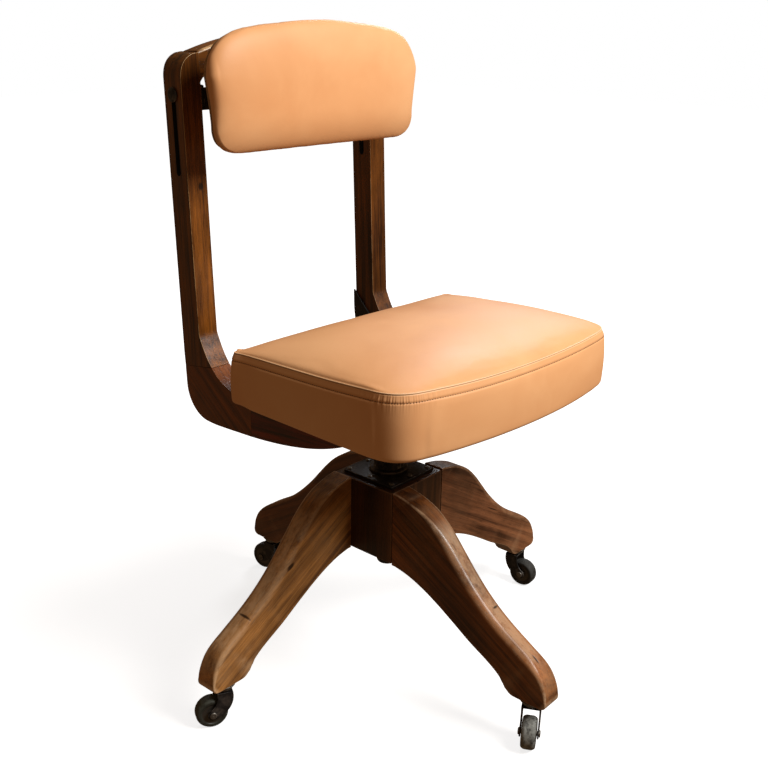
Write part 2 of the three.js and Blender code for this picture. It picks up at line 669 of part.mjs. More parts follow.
// Bracket between bar and pad: a foot on the pad's board, a web, and a flange on the bar.
function padArm(side) {
  const barFace = BAR_Y - BAR_THICK - GAP;
  const centre = side * ARM_X;
  const boardBack = PAD_REAR_Y + GAP;
  const high = BAR_LOW + BAR_HEIGHT;
  const web = box(centre - 2.5, centre + 2.5, boardBack + 2, barFace - 1, BAR_LOW + 2, high - 2);
  const flange = box(centre - 14, centre + 14, barFace - 4, barFace, BAR_LOW, high);
  const foot = box(centre - 20, centre + 20, 0, 4, -24, 24);
  foot.rotateX(-Math.atan(PAD_LEAN)).translate(0, boardBack + PAD_LEAN * (BOLT_Z - 4 - PAD_Z), BOLT_Z - 4);
  return join(web, foot, flange);
}

function padOutline(inset) {
  const top = PAD_HEIGHT / 2 - inset;
  const bottom = -PAD_HEIGHT / 2 + inset;
  const halfTop = PAD_HALF_TOP - inset;
  const halfBottom = PAD_HALF_BOTTOM - inset;
  const shoulder = top - PAD_ARCH;
  const cornerTop = PAD_CORNER_TOP - inset;
  const cornerBottom = PAD_CORNER_BOTTOM - inset;
  const arch = (x) => top - PAD_ARCH * (x / halfTop) ** 2;
  const archEnd = halfTop - cornerTop;
  const shape = new THREE.Shape();
  shape.moveTo(-halfBottom + cornerBottom, bottom);
  shape.lineTo(halfBottom - cornerBottom, bottom);
  shape.quadraticCurveTo(halfBottom, bottom, halfBottom + 2, bottom + cornerBottom);
  shape.lineTo(halfTop, shoulder - cornerTop * 0.75);
  shape.quadraticCurveTo(halfTop + 1, arch(halfTop) + 2, archEnd, arch(archEnd));
  shape.quadraticCurveTo(0, 2 * top - arch(archEnd), -archEnd, arch(archEnd));
  shape.quadraticCurveTo(-halfTop - 1, arch(halfTop) + 2, -halfTop, shoulder - cornerTop * 0.75);
  shape.lineTo(-halfBottom - 2, bottom + cornerBottom);
  shape.quadraticCurveTo(-halfBottom, bottom, -halfBottom + cornerBottom, bottom);
  return shape;
}

// A slab with the pad's outline, whose rear face is at yRear in the upright's lean.
function padSlab(inset, rear, thickness, bevel) {
  const slab = bevelled(padOutline(inset), thickness, bevel, 8);
  slab.rotateX(Math.PI / 2).translate(0, -thickness / 2 - rear, 0);
  slab.rotateX(-Math.atan(PAD_LEAN));
  return slab.translate(0, PAD_REAR_Y, PAD_Z);
}

add(chair, "pivot_bar", pivotBar(), blackSteel);
add(chair, "pad_arm_left", padArm(-1), blackSteel);
add(chair, "pad_arm_right", padArm(1), blackSteel);
add(chair, "slot_bolt_left", slotBolt(-1), blackSteel);
add(chair, "slot_bolt_right", slotBolt(1), blackSteel);
add(chair, "back_board", padSlab(2, 0, PAD_BOARD_THICK, 0), plywood);
add(chair, "back_pad", padSlab(0, PAD_BOARD_THICK + GAP, PAD_THICK, 9), leather);

chair.position.z = -FLOOR_Z;

export default chair;
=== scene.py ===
import json
import math
import random
from contextlib import contextmanager

import bmesh
import bpy
import numpy as np
from mathutils import Matrix, Vector
from mathutils.kdtree import KDTree


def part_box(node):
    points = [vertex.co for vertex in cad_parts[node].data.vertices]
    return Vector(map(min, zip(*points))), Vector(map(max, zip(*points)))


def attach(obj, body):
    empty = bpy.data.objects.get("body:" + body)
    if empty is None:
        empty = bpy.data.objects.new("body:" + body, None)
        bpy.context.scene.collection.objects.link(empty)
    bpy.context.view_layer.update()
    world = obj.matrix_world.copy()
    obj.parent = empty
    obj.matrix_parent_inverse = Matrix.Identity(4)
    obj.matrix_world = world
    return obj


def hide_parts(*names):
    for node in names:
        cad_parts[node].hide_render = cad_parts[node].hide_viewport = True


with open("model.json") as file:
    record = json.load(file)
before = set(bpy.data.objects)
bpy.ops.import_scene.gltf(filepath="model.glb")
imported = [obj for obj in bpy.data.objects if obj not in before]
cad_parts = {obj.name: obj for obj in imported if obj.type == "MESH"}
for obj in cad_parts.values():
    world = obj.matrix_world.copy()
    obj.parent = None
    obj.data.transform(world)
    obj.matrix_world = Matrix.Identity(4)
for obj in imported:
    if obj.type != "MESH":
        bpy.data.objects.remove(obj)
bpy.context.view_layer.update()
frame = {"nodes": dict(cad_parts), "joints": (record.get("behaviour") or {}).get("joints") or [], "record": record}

SEED = 11
scene = bpy.context.scene

# ---------------------------------------------------------------- camera, lights and floor
CAMERA_AT = Vector((-0.97495, -0.92422, 0.89718))
CAMERA_YAW = math.radians(-46.161)
CAMERA_PITCH = math.radians(19.888)
CAMERA_ROLL = math.radians(0.979)
CAMERA_LENS = 49.07

KEY_AT = Vector((0.75, -2.1, 2.5))
KEY_SIZE = 1.3
KEY_POWER = 118
KEY_COLOUR = (1.0, 0.97, 0.92)
RIM_AT = Vector((2.3, 1.3, 1.9))
RIM_SIZE = 0.9
RIM_POWER = 30
RIM_COLOUR = (0.92, 0.95, 1.0)
TARGET = Vector((0, -0.03, 0.45))
FILL_COLOUR = (0.142, 0.086, 0.046)
FLOOR_HALF = 9.0
FLOOR_GREY = 0.45
FLOOR_GLOW = (0.80, 1.0)            # just under the chair, and away from it
FLOOR_GLOW_REACH = (0.3, 1.6)


def axes_matrix(x, y, z, origin=Vector((0, 0, 0))):
    """A 4x4 matrix whose columns are the three axes and the origin."""
    matrix = Matrix((x, y, z)).transposed().to_4x4()
    matrix.translation = origin
    return matrix


def add_camera():
    flat = math.cos(CAMERA_PITCH)
    back = Vector((math.sin(CAMERA_YAW) * flat, -math.cos(CAMERA_YAW) * flat, math.sin(CAMERA_PITCH)))
    right = Vector((math.cos(CAMERA_YAW), math.sin(CAMERA_YAW), 0))
    up = back.cross(right)
    rolled_right = math.cos(CAMERA_ROLL) * right + math.sin(CAMERA_ROLL) * up
    rolled_up = math.cos(CAMERA_ROLL) * up - math.sin(CAMERA_ROLL) * right
    data = bpy.data.cameras.new("camera")
    data.lens = CAMERA_LENS
    camera = bpy.data.objects.new("camera", data)
    camera.matrix_world = axes_matrix(rolled_right, rolled_up, back, CAMERA_AT)
    scene.collection.objects.link(camera)
    scene.camera = camera


def add_softbox(name, place, size, power, colour):
    data = bpy.data.lights.new(name, "AREA")
    data.size = size
    data.energy = power
    data.color = colour
    lamp = bpy.data.objects.new(name, data)
    lamp.location = place
    lamp.rotation_mode = "QUATERNION"
    lamp.rotation_quaternion = (TARGET - place).to_track_quat("-Z", "Y")
    scene.collection.objects.link(lamp)


def add_world():
    """A dim warm fill for the object, and plain white where the camera sees past the floor."""
    world = bpy.data.worlds.new("studio")
    world.use_nodes = True
    tree = world.node_tree
    tree.nodes.clear()
    fill = node(tree, "Background", {"Color": (*FILL_COLOUR, 1), "Strength": 1.0})
    white = node(tree, "Background", {"Color": (1, 1, 1, 1), "Strength": 1.0})
    rays = node(tree, "LightPath")
    seen = rays.outputs["Is Camera Ray"]
    both = node(tree, "MixShader", {0: seen, 1: fill.outputs[0], 2: white.outputs[0]})
    node(tree, "OutputWorld", {"Surface": both.outputs[0]})
    scene.world = world


def add_floor():
    """A pale floor that catches a faint shadow, and sends no light back up at the chair."""
    corners = [(x * FLOOR_HALF, y * FLOOR_HALF, 0) for x, y in ((-1, -1), (1, -1), (1, 1), (-1, 1))]
    mesh = bpy.data.meshes.new("floor")
    mesh.from_pydata(corners, [], [(0, 1, 2, 3)])
    material, tree, shader = new_material("pale_floor")
    from_middle = node(tree, "VectorMath", {0: object_place(tree)}, operation="LENGTH").outputs["Value"]
    fill_inputs(tree, shader, {
        "Base Color": (FLOOR_GREY, FLOOR_GREY, FLOOR_GREY, 1),
        "Roughness": 0.9,
        "Specular IOR Level": 0,
        "Emission Color": (1, 1, 1, 1),
        "Emission Strength": remap(tree, from_middle, *FLOOR_GLOW_REACH, *FLOOR_GLOW),
    })
    material.cycles.emission_sampling = "NONE"
    mesh.materials.append(material)
    floor = bpy.data.objects.new("floor", mesh)
    floor.visible_diffuse = False
    floor.visible_glossy = False
    scene.collection.objects.link(floor)


# ---------------------------------------------------------------- node-tree helpers
def fill_inputs(tree, target, inputs):
    """Sets a node's inputs. Each value is a number, a colour or another node's socket."""
    for key, value in inputs.items():
        if isinstance(value, bpy.types.NodeSocket):
            tree.links.new(value, target.inputs[key])
        else:
            target.inputs[key].default_value = value


def node(tree, kind, inputs=None, **settings):
    made = tree.nodes.new("ShaderNode" + kind)
    for key, value in settings.items():
        setattr(made, key, value)
    fill_inputs(tree, made, inputs or {})
    return made


def object_place(tree):
    return node(tree, "TexCoord").outputs["Object"]


def attribute(tree, name, output="Fac"):
    return node(tree, "Attribute", attribute_name=name).outputs[output]


def calc(tree, operation, a, b, clamp=False):
    return node(tree, "Math", {0: a, 1: b}, operation=operation, use_clamp=clamp).outputs[0]


def product(tree, a, b, clamp=False):
    return calc(tree, "MULTIPLY", a, b, clamp)


def weighted_sum(tree, *terms):
    """Adds up terms of (value, weight, level), each worth weight * (value - level)."""
    total = 0.0
    for value, weight, level in terms:
        total = calc(tree, "ADD", total, product(tree, calc(tree, "SUBTRACT", value, level), weight))
    return total


def blend_colours(tree, factor, a, b, mode="MIX"):
    """Mixes two colours, each a socket or an (r, g, b)."""
    def full(colour):
        return colour if isinstance(colour, bpy.types.NodeSocket) else (*colour, 1)
    mix = node(tree, "Mix", {0: factor, 6: full(a), 7: full(b)}, data_type="RGBA", blend_type=mode)
    return mix.outputs[2]


def shaded(tree, colour, shade):
    """The colour times a grey shade."""
    grey = node(tree, "CombineColor", {0: shade, 1: shade, 2: shade}).outputs[0]
    return blend_colours(tree, 1.0, colour, grey, "MULTIPLY")


def darkened(colour, share):
    return [c * share for c in colour]


def remap(tree, value, low, high, to_low=0.0, to_high=1.0):
    """Stretches low..high to to_low..to_high, and holds it there."""
    made = node(tree, "MapRange", {0: value, 1: low, 2: high, 3: to_low, 4: to_high}, clamp=True)
    return made.outputs[0]


def scaled(tree, vector, scale):
    return node(tree, "Mapping", {"Vector": vector, "Scale": scale}).outputs[0]


def noise(tree, vector, scale=1.0, detail=3.0, roughness=0.5, distortion=0.0):
    made = node(tree, "TexNoise", {
        "Vector": vector, "Scale": scale, "Detail": detail, "Roughness": roughness, "Distortion": distortion})
    return made.outputs["Fac"]


def bump(tree, height, strength, distance, below=None):
    inputs = {"Height": height, "Strength": strength, "Distance": distance}
    if below is not None:
        inputs["Normal"] = below
    return node(tree, "Bump", inputs).outputs[0]


def new_material(name):
    material = bpy.data.materials.new(name)
    material.use_nodes = True
    tree = material.node_tree
    return material, tree, tree.nodes["Principled BSDF"]


# ---------------------------------------------------------------- materials
RUST = (0.075, 0.035, 0.018)


def wood_material(name, dark, light, worn, marks=()):
    """Old varnished timber. The mesh attribute grain holds metres along, across and through the
    timber; edge is 1 on its rounded edges, whose worn colour is rubbing and a painted highlight line.
    marks are knots and cracks, as (centre, half size)."""
    material, tree, shader = new_material(name)
    grain = attribute(tree, "grain", "Vector")

    def layer(scale, detail, roughness=0.5, distortion=0.0):
        return noise(tree, scaled(tree, grain, scale), 1, detail, roughness, distortion)

    warp = layer((4, 13, 13), 3)
    streaks = layer((6, 210, 210), 5, 0.66, 0.3)
    lines = layer((14, 560, 560), 3, 0.6, 0.2)
    pores = remap(tree, layer((45, 1300, 1300), 2, 0.6), 0.60, 0.70)
    blotch = layer((9, 22, 22), 4, 0.62, 0.8)
    rings = node(tree, "TexWave", {
        "Vector": scaled(tree, grain, (0.7, 17, 13)), "Scale": 1.0, "Distortion": 9.0, "Detail": 3.0,
        "Detail Scale": 1.4, "Detail Roughness": 0.62}, bands_direction="Y").outputs["Fac"]
    figure = weighted_sum(tree, (rings, 0.16, 0), (streaks, 0.62, 0), (lines, 0.55, 0.5), (warp, 0.85, 0.4))
    colour = blend_colours(tree, remap(tree, figure, 0.25, 0.74), dark, light)
    colour = shaded(tree, colour, remap(tree, blotch, 0.32, 0.7, 0.66, 1.22))
    colour = blend_colours(tree, product(tree, pores, 0.6), colour, darkened(dark, 0.25))
    rubbed = remap(tree, layer((35, 60, 60), 4, 0.7), 0.30, 0.54)
    rubbed = product(tree, attribute(tree, "edge"), rubbed, clamp=True)
    # the worn colour on the edges: real rubbing, and a painted highlight line along them
    colour = blend_colours(tree, product(tree, rubbed, 0.85), colour, worn)
    dents = pores
    for centre, half in marks:
        away = node(tree, "VectorMath", {0: grain, 1: centre}, operation="SUBTRACT").outputs[0]
        away = scaled(tree, away, [1 / h for h in half])
        length = node(tree, "VectorMath", {0: away}, operation="LENGTH").outputs["Value"]
        mark = remap(tree, weighted_sum(tree, (length, 1, 0), (streaks, 0.5, 0.5)), 1.1, 0.55)
        colour = blend_colours(tree, product(tree, mark, 0.88), colour, darkened(dark, 0.10))
        dents = calc(tree, "MAXIMUM", dents, mark)
    fine = bump(tree, streaks, 0.30, 0.0003, bump(tree, blotch, 0.25, 0.0012))
    fill_inputs(tree, shader, {
        "Base Color": colour,
        "Roughness": remap(tree, blotch, 0.3, 0.7, 0.30, 0.50),
        "Specular IOR Level": 0.32,
        "Coat Weight": 0.22,
        "Coat Roughness": 0.22,
        "Normal": bump(tree, calc(tree, "SUBTRACT", 1.0, dents), 0.6, 0.0004, fine),
    })
    return material


def ply_material(name, face, dark):
    """Bare birch ply, stained by age."""
    material, tree, shader = new_material(name)
    place = object_place(tree)
    streaks = noise(tree, scaled(tree, place, (240, 9, 240)), 1, 4, 0.6, 0.4)
    colour = blend_colours(tree, remap(tree, streaks, 0.3, 0.7), face, dark)
    fill_inputs(tree, shader, {
        "Base Color": shaded(tree, colour, remap(tree, noise(tree, place, 14, 3), 0.35, 0.65, 0.7, 1.1)),
        "Roughness": 0.7,
        "Normal": bump(tree, streaks, 0.4, 0.0003),
    })
    return material


def leather_material(name, base, deep, pale, rolled):
    """Soft tan leather: fine grain, faint mottling, a painted highlight where it rolls over the seam (the
    mesh attribute roll), and darker where the attribute edge says: painted shade in the seat's seam
    grooves and on the pad's turned-down lower face, and a flat darkening on the pad's rear."""
    material, tree, shader = new_material(name)
    place = object_place(tree)
    mottle = noise(tree, place, 9, 4, 0.55, 0.4)
    cloud = noise(tree, place, 3.2, 2, 0.5, 0.3)
    colour = blend_colours(tree, remap(tree, mottle, 0.32, 0.70), deep, base)
    colour = blend_colours(tree, remap(tree, cloud, 0.42, 0.72, 0.0, 0.55), colour, pale)
    # painted highlight on the seat's rolled lip over the seam
    colour = blend_colours(tree, product(tree, attribute(tree, "roll"), 0.45, clamp=True), colour, rolled)
    # painted shade: darkens the seam grooves, the pad's lower face and, evenly, the pad's rear
    painted_shade = product(tree, attribute(tree, "edge"), 0.8, clamp=True)
    pebble = node(tree, "TexVoronoi", {"Vector": place, "Scale": 900, "Randomness": 1.0},
                  feature="DISTANCE_TO_EDGE").outputs["Distance"]
    soft = bump(tree, noise(tree, place, 60, 4, 0.6), 0.16, 0.0008)
    fill_inputs(tree, shader, {
        "Base Color": blend_colours(tree, painted_shade, colour, darkened(deep, 0.42)),
        "Roughness": remap(tree, mottle, 0.3, 0.7, 0.42, 0.54),
        "Specular IOR Level": 0.24,
        "Normal": bump(tree, remap(tree, pebble, 0.0, 0.25), 0.10, 0.00025, soft),
    })
    return material


def steel_material(name, base, worn, rough, metallic, wear_from=0.45):
    """Painted or plain steel, rubbed bright on its edges and a little rusty in places."""
    material, tree, shader = new_material(name)
    place = object_place(tree)
    patches = noise(tree, place, 75, 5, 0.65, 0.3)
    specks = noise(tree, place, 420, 3, 0.6)
    rust = remap(tree, patches, 0.56, 0.74)
    colour = blend_colours(tree, product(tree, rust, 0.55), base, RUST)
    rubbed = remap(tree, patches, wear_from, wear_from + 0.2)
    rubbed = product(tree, attribute(tree, "edge"), rubbed, clamp=True)
    fill_inputs(tree, shader, {
        "Base Color": blend_colours(tree, product(tree, rubbed, 0.85), colour, worn),
        "Metallic": metallic,
        "Roughness": remap(tree, specks, 0.3, 0.7, rough - 0.08, rough + 0.14),
        "Normal": bump(tree, specks, 0.35, 0.00025),
    })
    return material


def rubber_material(name, base, dust):
    """Hard old rubber with grey dust trodden into it, most on the tread (the mesh attribute tread)."""
    material, tree, shader = new_material(name)
    place = object_place(tree)
    patches = noise(tree, place, 190, 4, 0.6, 0.5)
    dusty = product(tree, attribute(tree, "tread"), remap(tree, patches, 0.28, 0.62), clamp=True)
    fill_inputs(tree, shader, {
        "Base Color": blend_colours(tree, dusty, base, dust),
        "Roughness": remap(tree, dusty, 0, 1, 0.42, 0.9),
        "Normal": bump(tree, noise(tree, place, 900, 2), 0.5, 0.0004, bump(tree, patches, 0.4, 0.0006)),
    })
    return material


def thread_material(name, colour):
    """Waxed sewing thread with a fine twist."""
    material, tree, shader = new_material(name)
    twist = noise(tree, object_place(tree), 2600, 2)
    fill_inputs(tree, shader, {
        "Base Color": blend_colours(tree, remap(tree, twist, 0.3, 0.7), darkened(colour, 0.6), colour),
        "Roughness": 0.7,
        "Normal": bump(tree, twist, 0.5, 0.0002),
    })
    return material


# ---------------------------------------------------------------- outlines taken from the CAD nodes
X, Y, Z = Vector((1, 0, 0)), Vector((0, 1, 0)), Vector((0, 0, 1))
SIDE = (Y, Z, X)          # side view: y, z, and x through the timber
FRONT = (X, Z, -Y)        # front view: x, z, and depth towards the sitter
PLAN = (X, Y, Z)
ORIGIN = Vector((0, 0, 0))


def node_points(name, basis):
    """The CAD node's vertices in a basis (u, v, w)."""
    world = np.array([v.co for v in frame["nodes"][name].data.vertices], float)
    return world @ np.array([list(a) for a in basis], float).T


def extent(name, axis):
    """Lowest and highest reach of a CAD node along an axis."""
    along = node_points(name, (axis,))[:, 0]
    return float(along.min()), float(along.max())


def chained(segments, near=0.00003):
    """Joins loose segments, each a pair of points, into closed loops."""
    ends = np.array(segments, float)
    free = np.ones(len(ends), bool)
    loops = []
    while free.any():
        first = int(np.flatnonzero(free)[0])
        free[first] = False
        loop = [ends[first, 0], ends[first, 1]]
        while True:
            gaps = np.linalg.norm(ends - loop[-1], axis=2)
            gaps[~free] = 1.0
            which, end = np.unravel_index(int(gaps.argmin()), gaps.shape)
            if gaps[which, end] > near:
                break
            free[which] = False
            loop.append(ends[which, 1 - end])
        loops.append(np.array(loop[:-1]))
    return [x for x in loops if len(x) > 2]


def turn_angles(loop):
    before = loop - np.roll(loop, 1, 0)
    after = np.roll(loop, -1, 0) - loop
    cross = before[:, 0] * after[:, 1] - before[:, 1] * after[:, 0]
    return np.arctan2(cross, (before * after).sum(1))


def signed_area(loop):
    following = np.roll(loop, -1, 0)
    return 0.5 * float((loop[:, 0] * following[:, 1] - loop[:, 1] * following[:, 0]).sum())


def without_straight_points(loop, least=0.006):
    """Drops repeated points and the points in the middle of straight stretches."""
    keep = np.linalg.norm(loop - np.roll(loop, 1, 0), axis=1) > 0.00004
    loop = loop[keep]
    return loop[np.abs(turn_angles(loop)) > least]


def section(name, basis, level):
    """Closed outlines of the cut through a CAD node at w = level, the largest first."""
    mesh = frame["nodes"][name].data
    mesh.calc_loop_triangles()
    points = node_points(name, basis)
    segments = []
    for triangle in mesh.loop_triangles:
        corner = points[list(triangle.vertices)]
        above = corner[:, 2] > level
        if above.all() or not above.any():
            continue
        crossing = []
        for a, b in ((0, 1), (1, 2), (2, 0)):
            if above[a] != above[b]:
                share = (level - corner[a, 2]) / (corner[b, 2] - corner[a, 2])
                crossing.append(corner[a, :2] + (corner[b, :2] - corner[a, :2]) * share)
        segments.append(crossing)
    loops = [without_straight_points(x) for x in chained(segments)]
    loops = [x if signed_area(x) > 0 else x[::-1] for x in loops if len(x) > 2]
    return sorted(loops, key=signed_area, reverse=True)


def refined(loop, step=0.003, corner_turn=0.5, fillet=0.0, fillet_steps=4):
    """Smooths a faceted outline's round stretches with points every step, and rounds its corners."""
    count = len(loop)
    turns = turn_angles(loop)
    corner = np.abs(turns) > corner_turn
    after = np.roll(loop, -1, 0) - loop
    length = np.linalg.norm(after, axis=1)
    away = after / length[:, None]
    arrive = np.roll(away, 1, 0)
    chord = np.roll(loop, -1, 0) - np.roll(loop, 1, 0)
    tangent = chord / np.linalg.norm(chord, axis=1)[:, None]
    made = []
    for i in range(count):
        j = (i + 1) % count
        start, end = loop[i], loop[j]
        from_way = away[i] if corner[i] else tangent[i]
        to_way = arrive[j] if corner[j] else tangent[j]
        cut_start = cut_end = 0.0
        if corner[i] and fillet:
            cut_start = min(fillet, length[i] * 0.4)
        if corner[j] and fillet:
            cut_end = min(fillet, length[i] * 0.4)
        pieces = max(1, int(round(length[i] / step)))
        shares = np.linspace(cut_start / length[i], 1 - cut_end / length[i], pieces + 1)
        if not (corner[j] and fillet):
            shares = shares[:-1]
        for t in shares:
            h = (2 * t**3 - 3 * t**2 + 1, t**3 - 2 * t**2 + t, 3 * t**2 - 2 * t**3, t**3 - t**2)
            point = h[0] * start + h[1] * length[i] * from_way + h[2] * end + h[3] * length[i] * to_way
            made.append(point)
        if corner[j] and fillet:
            inward = end - away[i] * cut_end
            outward = end + away[j] * min(fillet, length[j] * 0.4)
            for k in range(1, fillet_steps):
                t = k / fillet_steps
                made.append((1 - t) ** 2 * inward + 2 * t * (1 - t) * end + t**2 * outward)
    return np.array(made)


def inward_normals(loop):
    """Unit-offset directions into the material for an outline with the material on its left."""
    before = loop - np.roll(loop, 1, 0)
    after = np.roll(loop, -1, 0) - loop
    before /= np.linalg.norm(before, axis=1)[:, None]
    after /= np.linalg.norm(after, axis=1)[:, None]
    left = np.stack([-before[:, 1] - after[:, 1], before[:, 0] + after[:, 0]], 1)
    left /= np.linalg.norm(left, axis=1)[:, None]
    across = np.stack([-after[:, 1], after[:, 0]], 1)
    stretch = np.clip((left * across).sum(1), 0.7, 1.0)
    return left / stretch[:, None]


# ---------------------------------------------------------------- mesh builders
FULLY_TURNED = 0.35         # a bend this sharp, in radians, counts as a whole edge in the edge masks


def new_piece(name, verts, faces):
    mesh = bpy.data.meshes.new(name)
    mesh.from_pydata([tuple(v) for v in verts], [], faces)
    mesh.validate()
    piece = bpy.data.objects.new(name, mesh)
    smooth_shading(piece)
    scene.collection.objects.link(piece)
    return piece


def set_attribute(piece, name, values, kind="FLOAT"):
    attribute = piece.data.attributes.new(name, kind, "POINT")
    key = "value" if kind == "FLOAT" else "vector"
    attribute.data.foreach_set(key, np.asarray(values, np.float32).ravel())


@contextmanager
def opened(piece):
    """The piece's mesh open for editing; the changes are kept."""
    bm = bmesh.new()
    bm.from_mesh(piece.data)
    bm.normal_update()
    yield bm
    bm.to_mesh(piece.data)
    bm.free()


def smooth_shading(piece):
    for polygon in piece.data.polygons:
        polygon.use_smooth = True


def weighted_normals(piece):
    """Keeps the broad faces flat in shading while the rounded edges stay smooth."""
    modifier = piece.modifiers.new("weighted_normals", "WEIGHTED_NORMAL")
    modifier.weight = 80
    modifier.keep_sharp = True


def apply_modifiers(piece):
    evaluated = piece.evaluated_get(bpy.context.evaluated_depsgraph_get())
    baked = bpy.data.meshes.new_from_object(evaluated)
    piece.modifiers.clear()
    old = piece.data
    piece.data = baked
    bpy.data.meshes.remove(old)


def rub(angle, span):
    """How rubbed a rounded edge is, at an angle round it: a narrow one all over, a broad one at its rim. On timber
    this mask also lays a painted highlight line along the edge.
    """
    if angle < 0.01:
        return 0.6 * smoothstep(span, 0.005, 0.009)
    if angle > 1.56:
        return 0.0
    return math.sin(2 * angle) ** 0.5 * min(1.0, 0.0035 / span)


def smoothstep(value, low, high):
    share = min(1.0, max(0.0, (value - low) / (high - low)))
    return share * share * (3 - 2 * share)


def prism_parts(loops, basis, low, high, radius, steps=4):
    """Rounded prism as (verts, faces, edge mask). loops[0] is the outline and the others are holes.
    radius is a number, or a function of (u, v, outward u, outward v, side) with side -1 low, 1 high."""
    bm = bmesh.new()
    masks = []
    caps = {-1: [], 1: []}
    for number, loop in enumerate(loops):
        if number:
            loop = loop[::-1]
        inward = inward_normals(loop)
        turned = np.clip(np.abs(turn_angles(loop)) / FULLY_TURNED, 0, 1)
        rings = []
        for side in (1, -1):
            if callable(radius):
                reach = np.array([radius(*point, *-way, side) for point, way in zip(loop, inward)])
            else:
                reach = np.full(len(loop), radius if not number else min(radius, 0.0008))
            angles = [math.pi / 2 * k / steps for k in range(steps + 1)]
            if side > 0:
                angles = angles[::-1]
            for angle in angles:
                place = loop + inward * (reach * (1 - math.cos(angle)))[:, None]
                depth = reach * (1 - math.sin(angle))
                level = high - depth if side > 0 else low + depth
                ring = []
                for (u, v), w, turn, span in zip(place, level, turned, reach):
                    ring.append(bm.verts.new(basis[0] * u + basis[1] * v + basis[2] * w))
                    masks.append(max(rub(angle, float(span)), float(turn)))
                rings.append(ring)
        for upper, lower in zip(rings, rings[1:]):
            for i in range(len(loop)):
                j = (i + 1) % len(loop)
                bm.faces.new((upper[i], lower[i], lower[j], upper[j]))
        caps[1].append(rings[0])
        caps[-1].append(rings[-1])
    bm.edges.index_update()
    for side, rims in caps.items():
        rim_edges = [bm.edges.get((rim[i], rim[(i + 1) % len(rim)])) for rim in rims for i in range(len(rim))]
        filled = bmesh.ops.triangle_fill(bm, use_beauty=True, use_dissolve=False, edges=rim_edges)
        outward = basis[2] * side
        for face in filled["geom"]:
            if isinstance(face, bmesh.types.BMFace):
                face.normal_update()
                if face.normal.dot(outward) < 0:
                    face.normal_flip()
    bm.verts.index_update()
    verts = [v.co.copy() for v in bm.verts]
    faces = [[v.index for v in f.verts] for f in bm.faces]
    bm.free()
    return verts, faces, masks


def joined(parts):
    """Several (verts, faces, mask) sets as one."""
    verts, faces, masks = [], [], []
    for part_verts, part_faces, part_masks in parts:
        start = len(verts)
        verts += part_verts
        faces += [[i + start for i in face] for face in part_faces]
        masks += list(part_masks)
    return verts, faces, masks


def outward_facing(piece):
    with opened(piece) as bm:
        bmesh.ops.recalc_face_normals(bm, faces=bm.faces)


def grain_coordinates(piece, along, across, shift=0.0):
    """Stores metres along, across and through the timber; shift gives each timber its own figure."""
    through = along.cross(across)
    basis = np.array([list(along), list(across), list(through)], float)
    grain = coordinates(piece) @ basis.T + np.array([0, shift, 2 * shift])
    set_attribute(piece, "grain", grain, "FLOAT_VECTOR")


def finish_piece(piece, material, body, slot, node_name, smooth_flats=True):
    """Gives a rebuilt piece its material and body, and lets it stand for its CAD node."""
    if not piece.data.materials:
        piece.data.materials.append(material)
    if smooth_flats:
        weighted_normals(piece)
    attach(piece, body)
    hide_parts(node_name)


def body_of_node(name):
    bodies = frame["record"]["behaviour"]["bodies"]
    return next(body for body, members in bodies.items() if name in members)


def prism_piece(name, basis, radius, material, slot, along=None, across=None, shift=0.0, fillet=0.002,
                step=0.004):
    """Rebuilds an extruded CAD node with rounded edges: same outline, same reach, finer surface."""
    low, high = extent(name, basis[2])
    loops = [refined(x, step, 0.5, fillet) for x in section(name, basis, (low + high) / 2)]
    verts, faces, masks = prism_parts(loops, basis, low, high, radius)
    piece = new_piece(name + "_look", verts, faces)
    outward_facing(piece)
    set_attribute(piece, "edge", masks)
    if along is not None:
        grain_coordinates(piece, along, across, shift)
    finish_piece(piece, material, body_of_node(name), slot, name)


def lathe_parts(profile, origin, axis, side_axis, segments=48, radius_at=None):
    """Turned form about axis through origin. profile is (r, h) points, and radius_at(angle, r, h)
    may shape it further."""
    third = axis.cross(side_axis)
    verts, faces = [], []
    count = len(profile)
    for s in range(segments):
        angle = 2 * math.pi * s / segments
        out = side_axis * math.cos(angle) + third * math.sin(angle)
        for r, h in profile:
            reach = radius_at(angle, r, h) if radius_at else r
            verts.append(origin + out * reach + axis * h)
    for s in range(segments):
        t = (s + 1) % segments
        for i in range(count):
            j = (i + 1) % count
            faces.append([s * count + i, t * count + i, t * count + j, s * count + j])
    return verts, faces


def turned_outline(name, origin, axis, side_axis, fillet=0.0006, step=0.004):
    """The profile of a turned CAD node as a closed (r, h) loop with rounded corners."""
    third = axis.cross(side_axis)
    world = np.array([v.co for v in frame["nodes"][name].data.vertices], float) - np.array(origin)
    local = world @ np.array([list(side_axis), list(third), list(axis)], float).T
    known = np.stack([np.hypot(local[:, 0], local[:, 1]), local[:, 2]], 1)
    offset = float(Vector(origin).dot(third))
    middle = np.array([Vector(origin).dot(side_axis), Vector(origin).dot(axis)])
    loops = [x - middle for x in section(name, (side_axis, axis, third), offset + 0.00001)]
    loop = next(x for x in loops if x[:, 0].max() > 0)
    half = []
    count = len(loop)
    for i in range(count):
        a, b = loop[i], loop[(i + 1) % count]
        if a[0] >= 0:
            half.append(a)
        if (a[0] < 0) != (b[0] < 0):
            share = a[0] / (a[0] - b[0])
            half.append(np.array([0.0, a[1] + (b[1] - a[1]) * share]))
    snapped = []
    for point in half:
        nearest = known[np.linalg.norm(known - point, axis=1).argmin()]
        snapped.append(nearest if point[0] > 0.0005 and np.linalg.norm(nearest - point) < 0.0015 else point)
    profile = without_straight_points(np.array(snapped))
    return refined(profile, step, 0.35, fillet, 3)


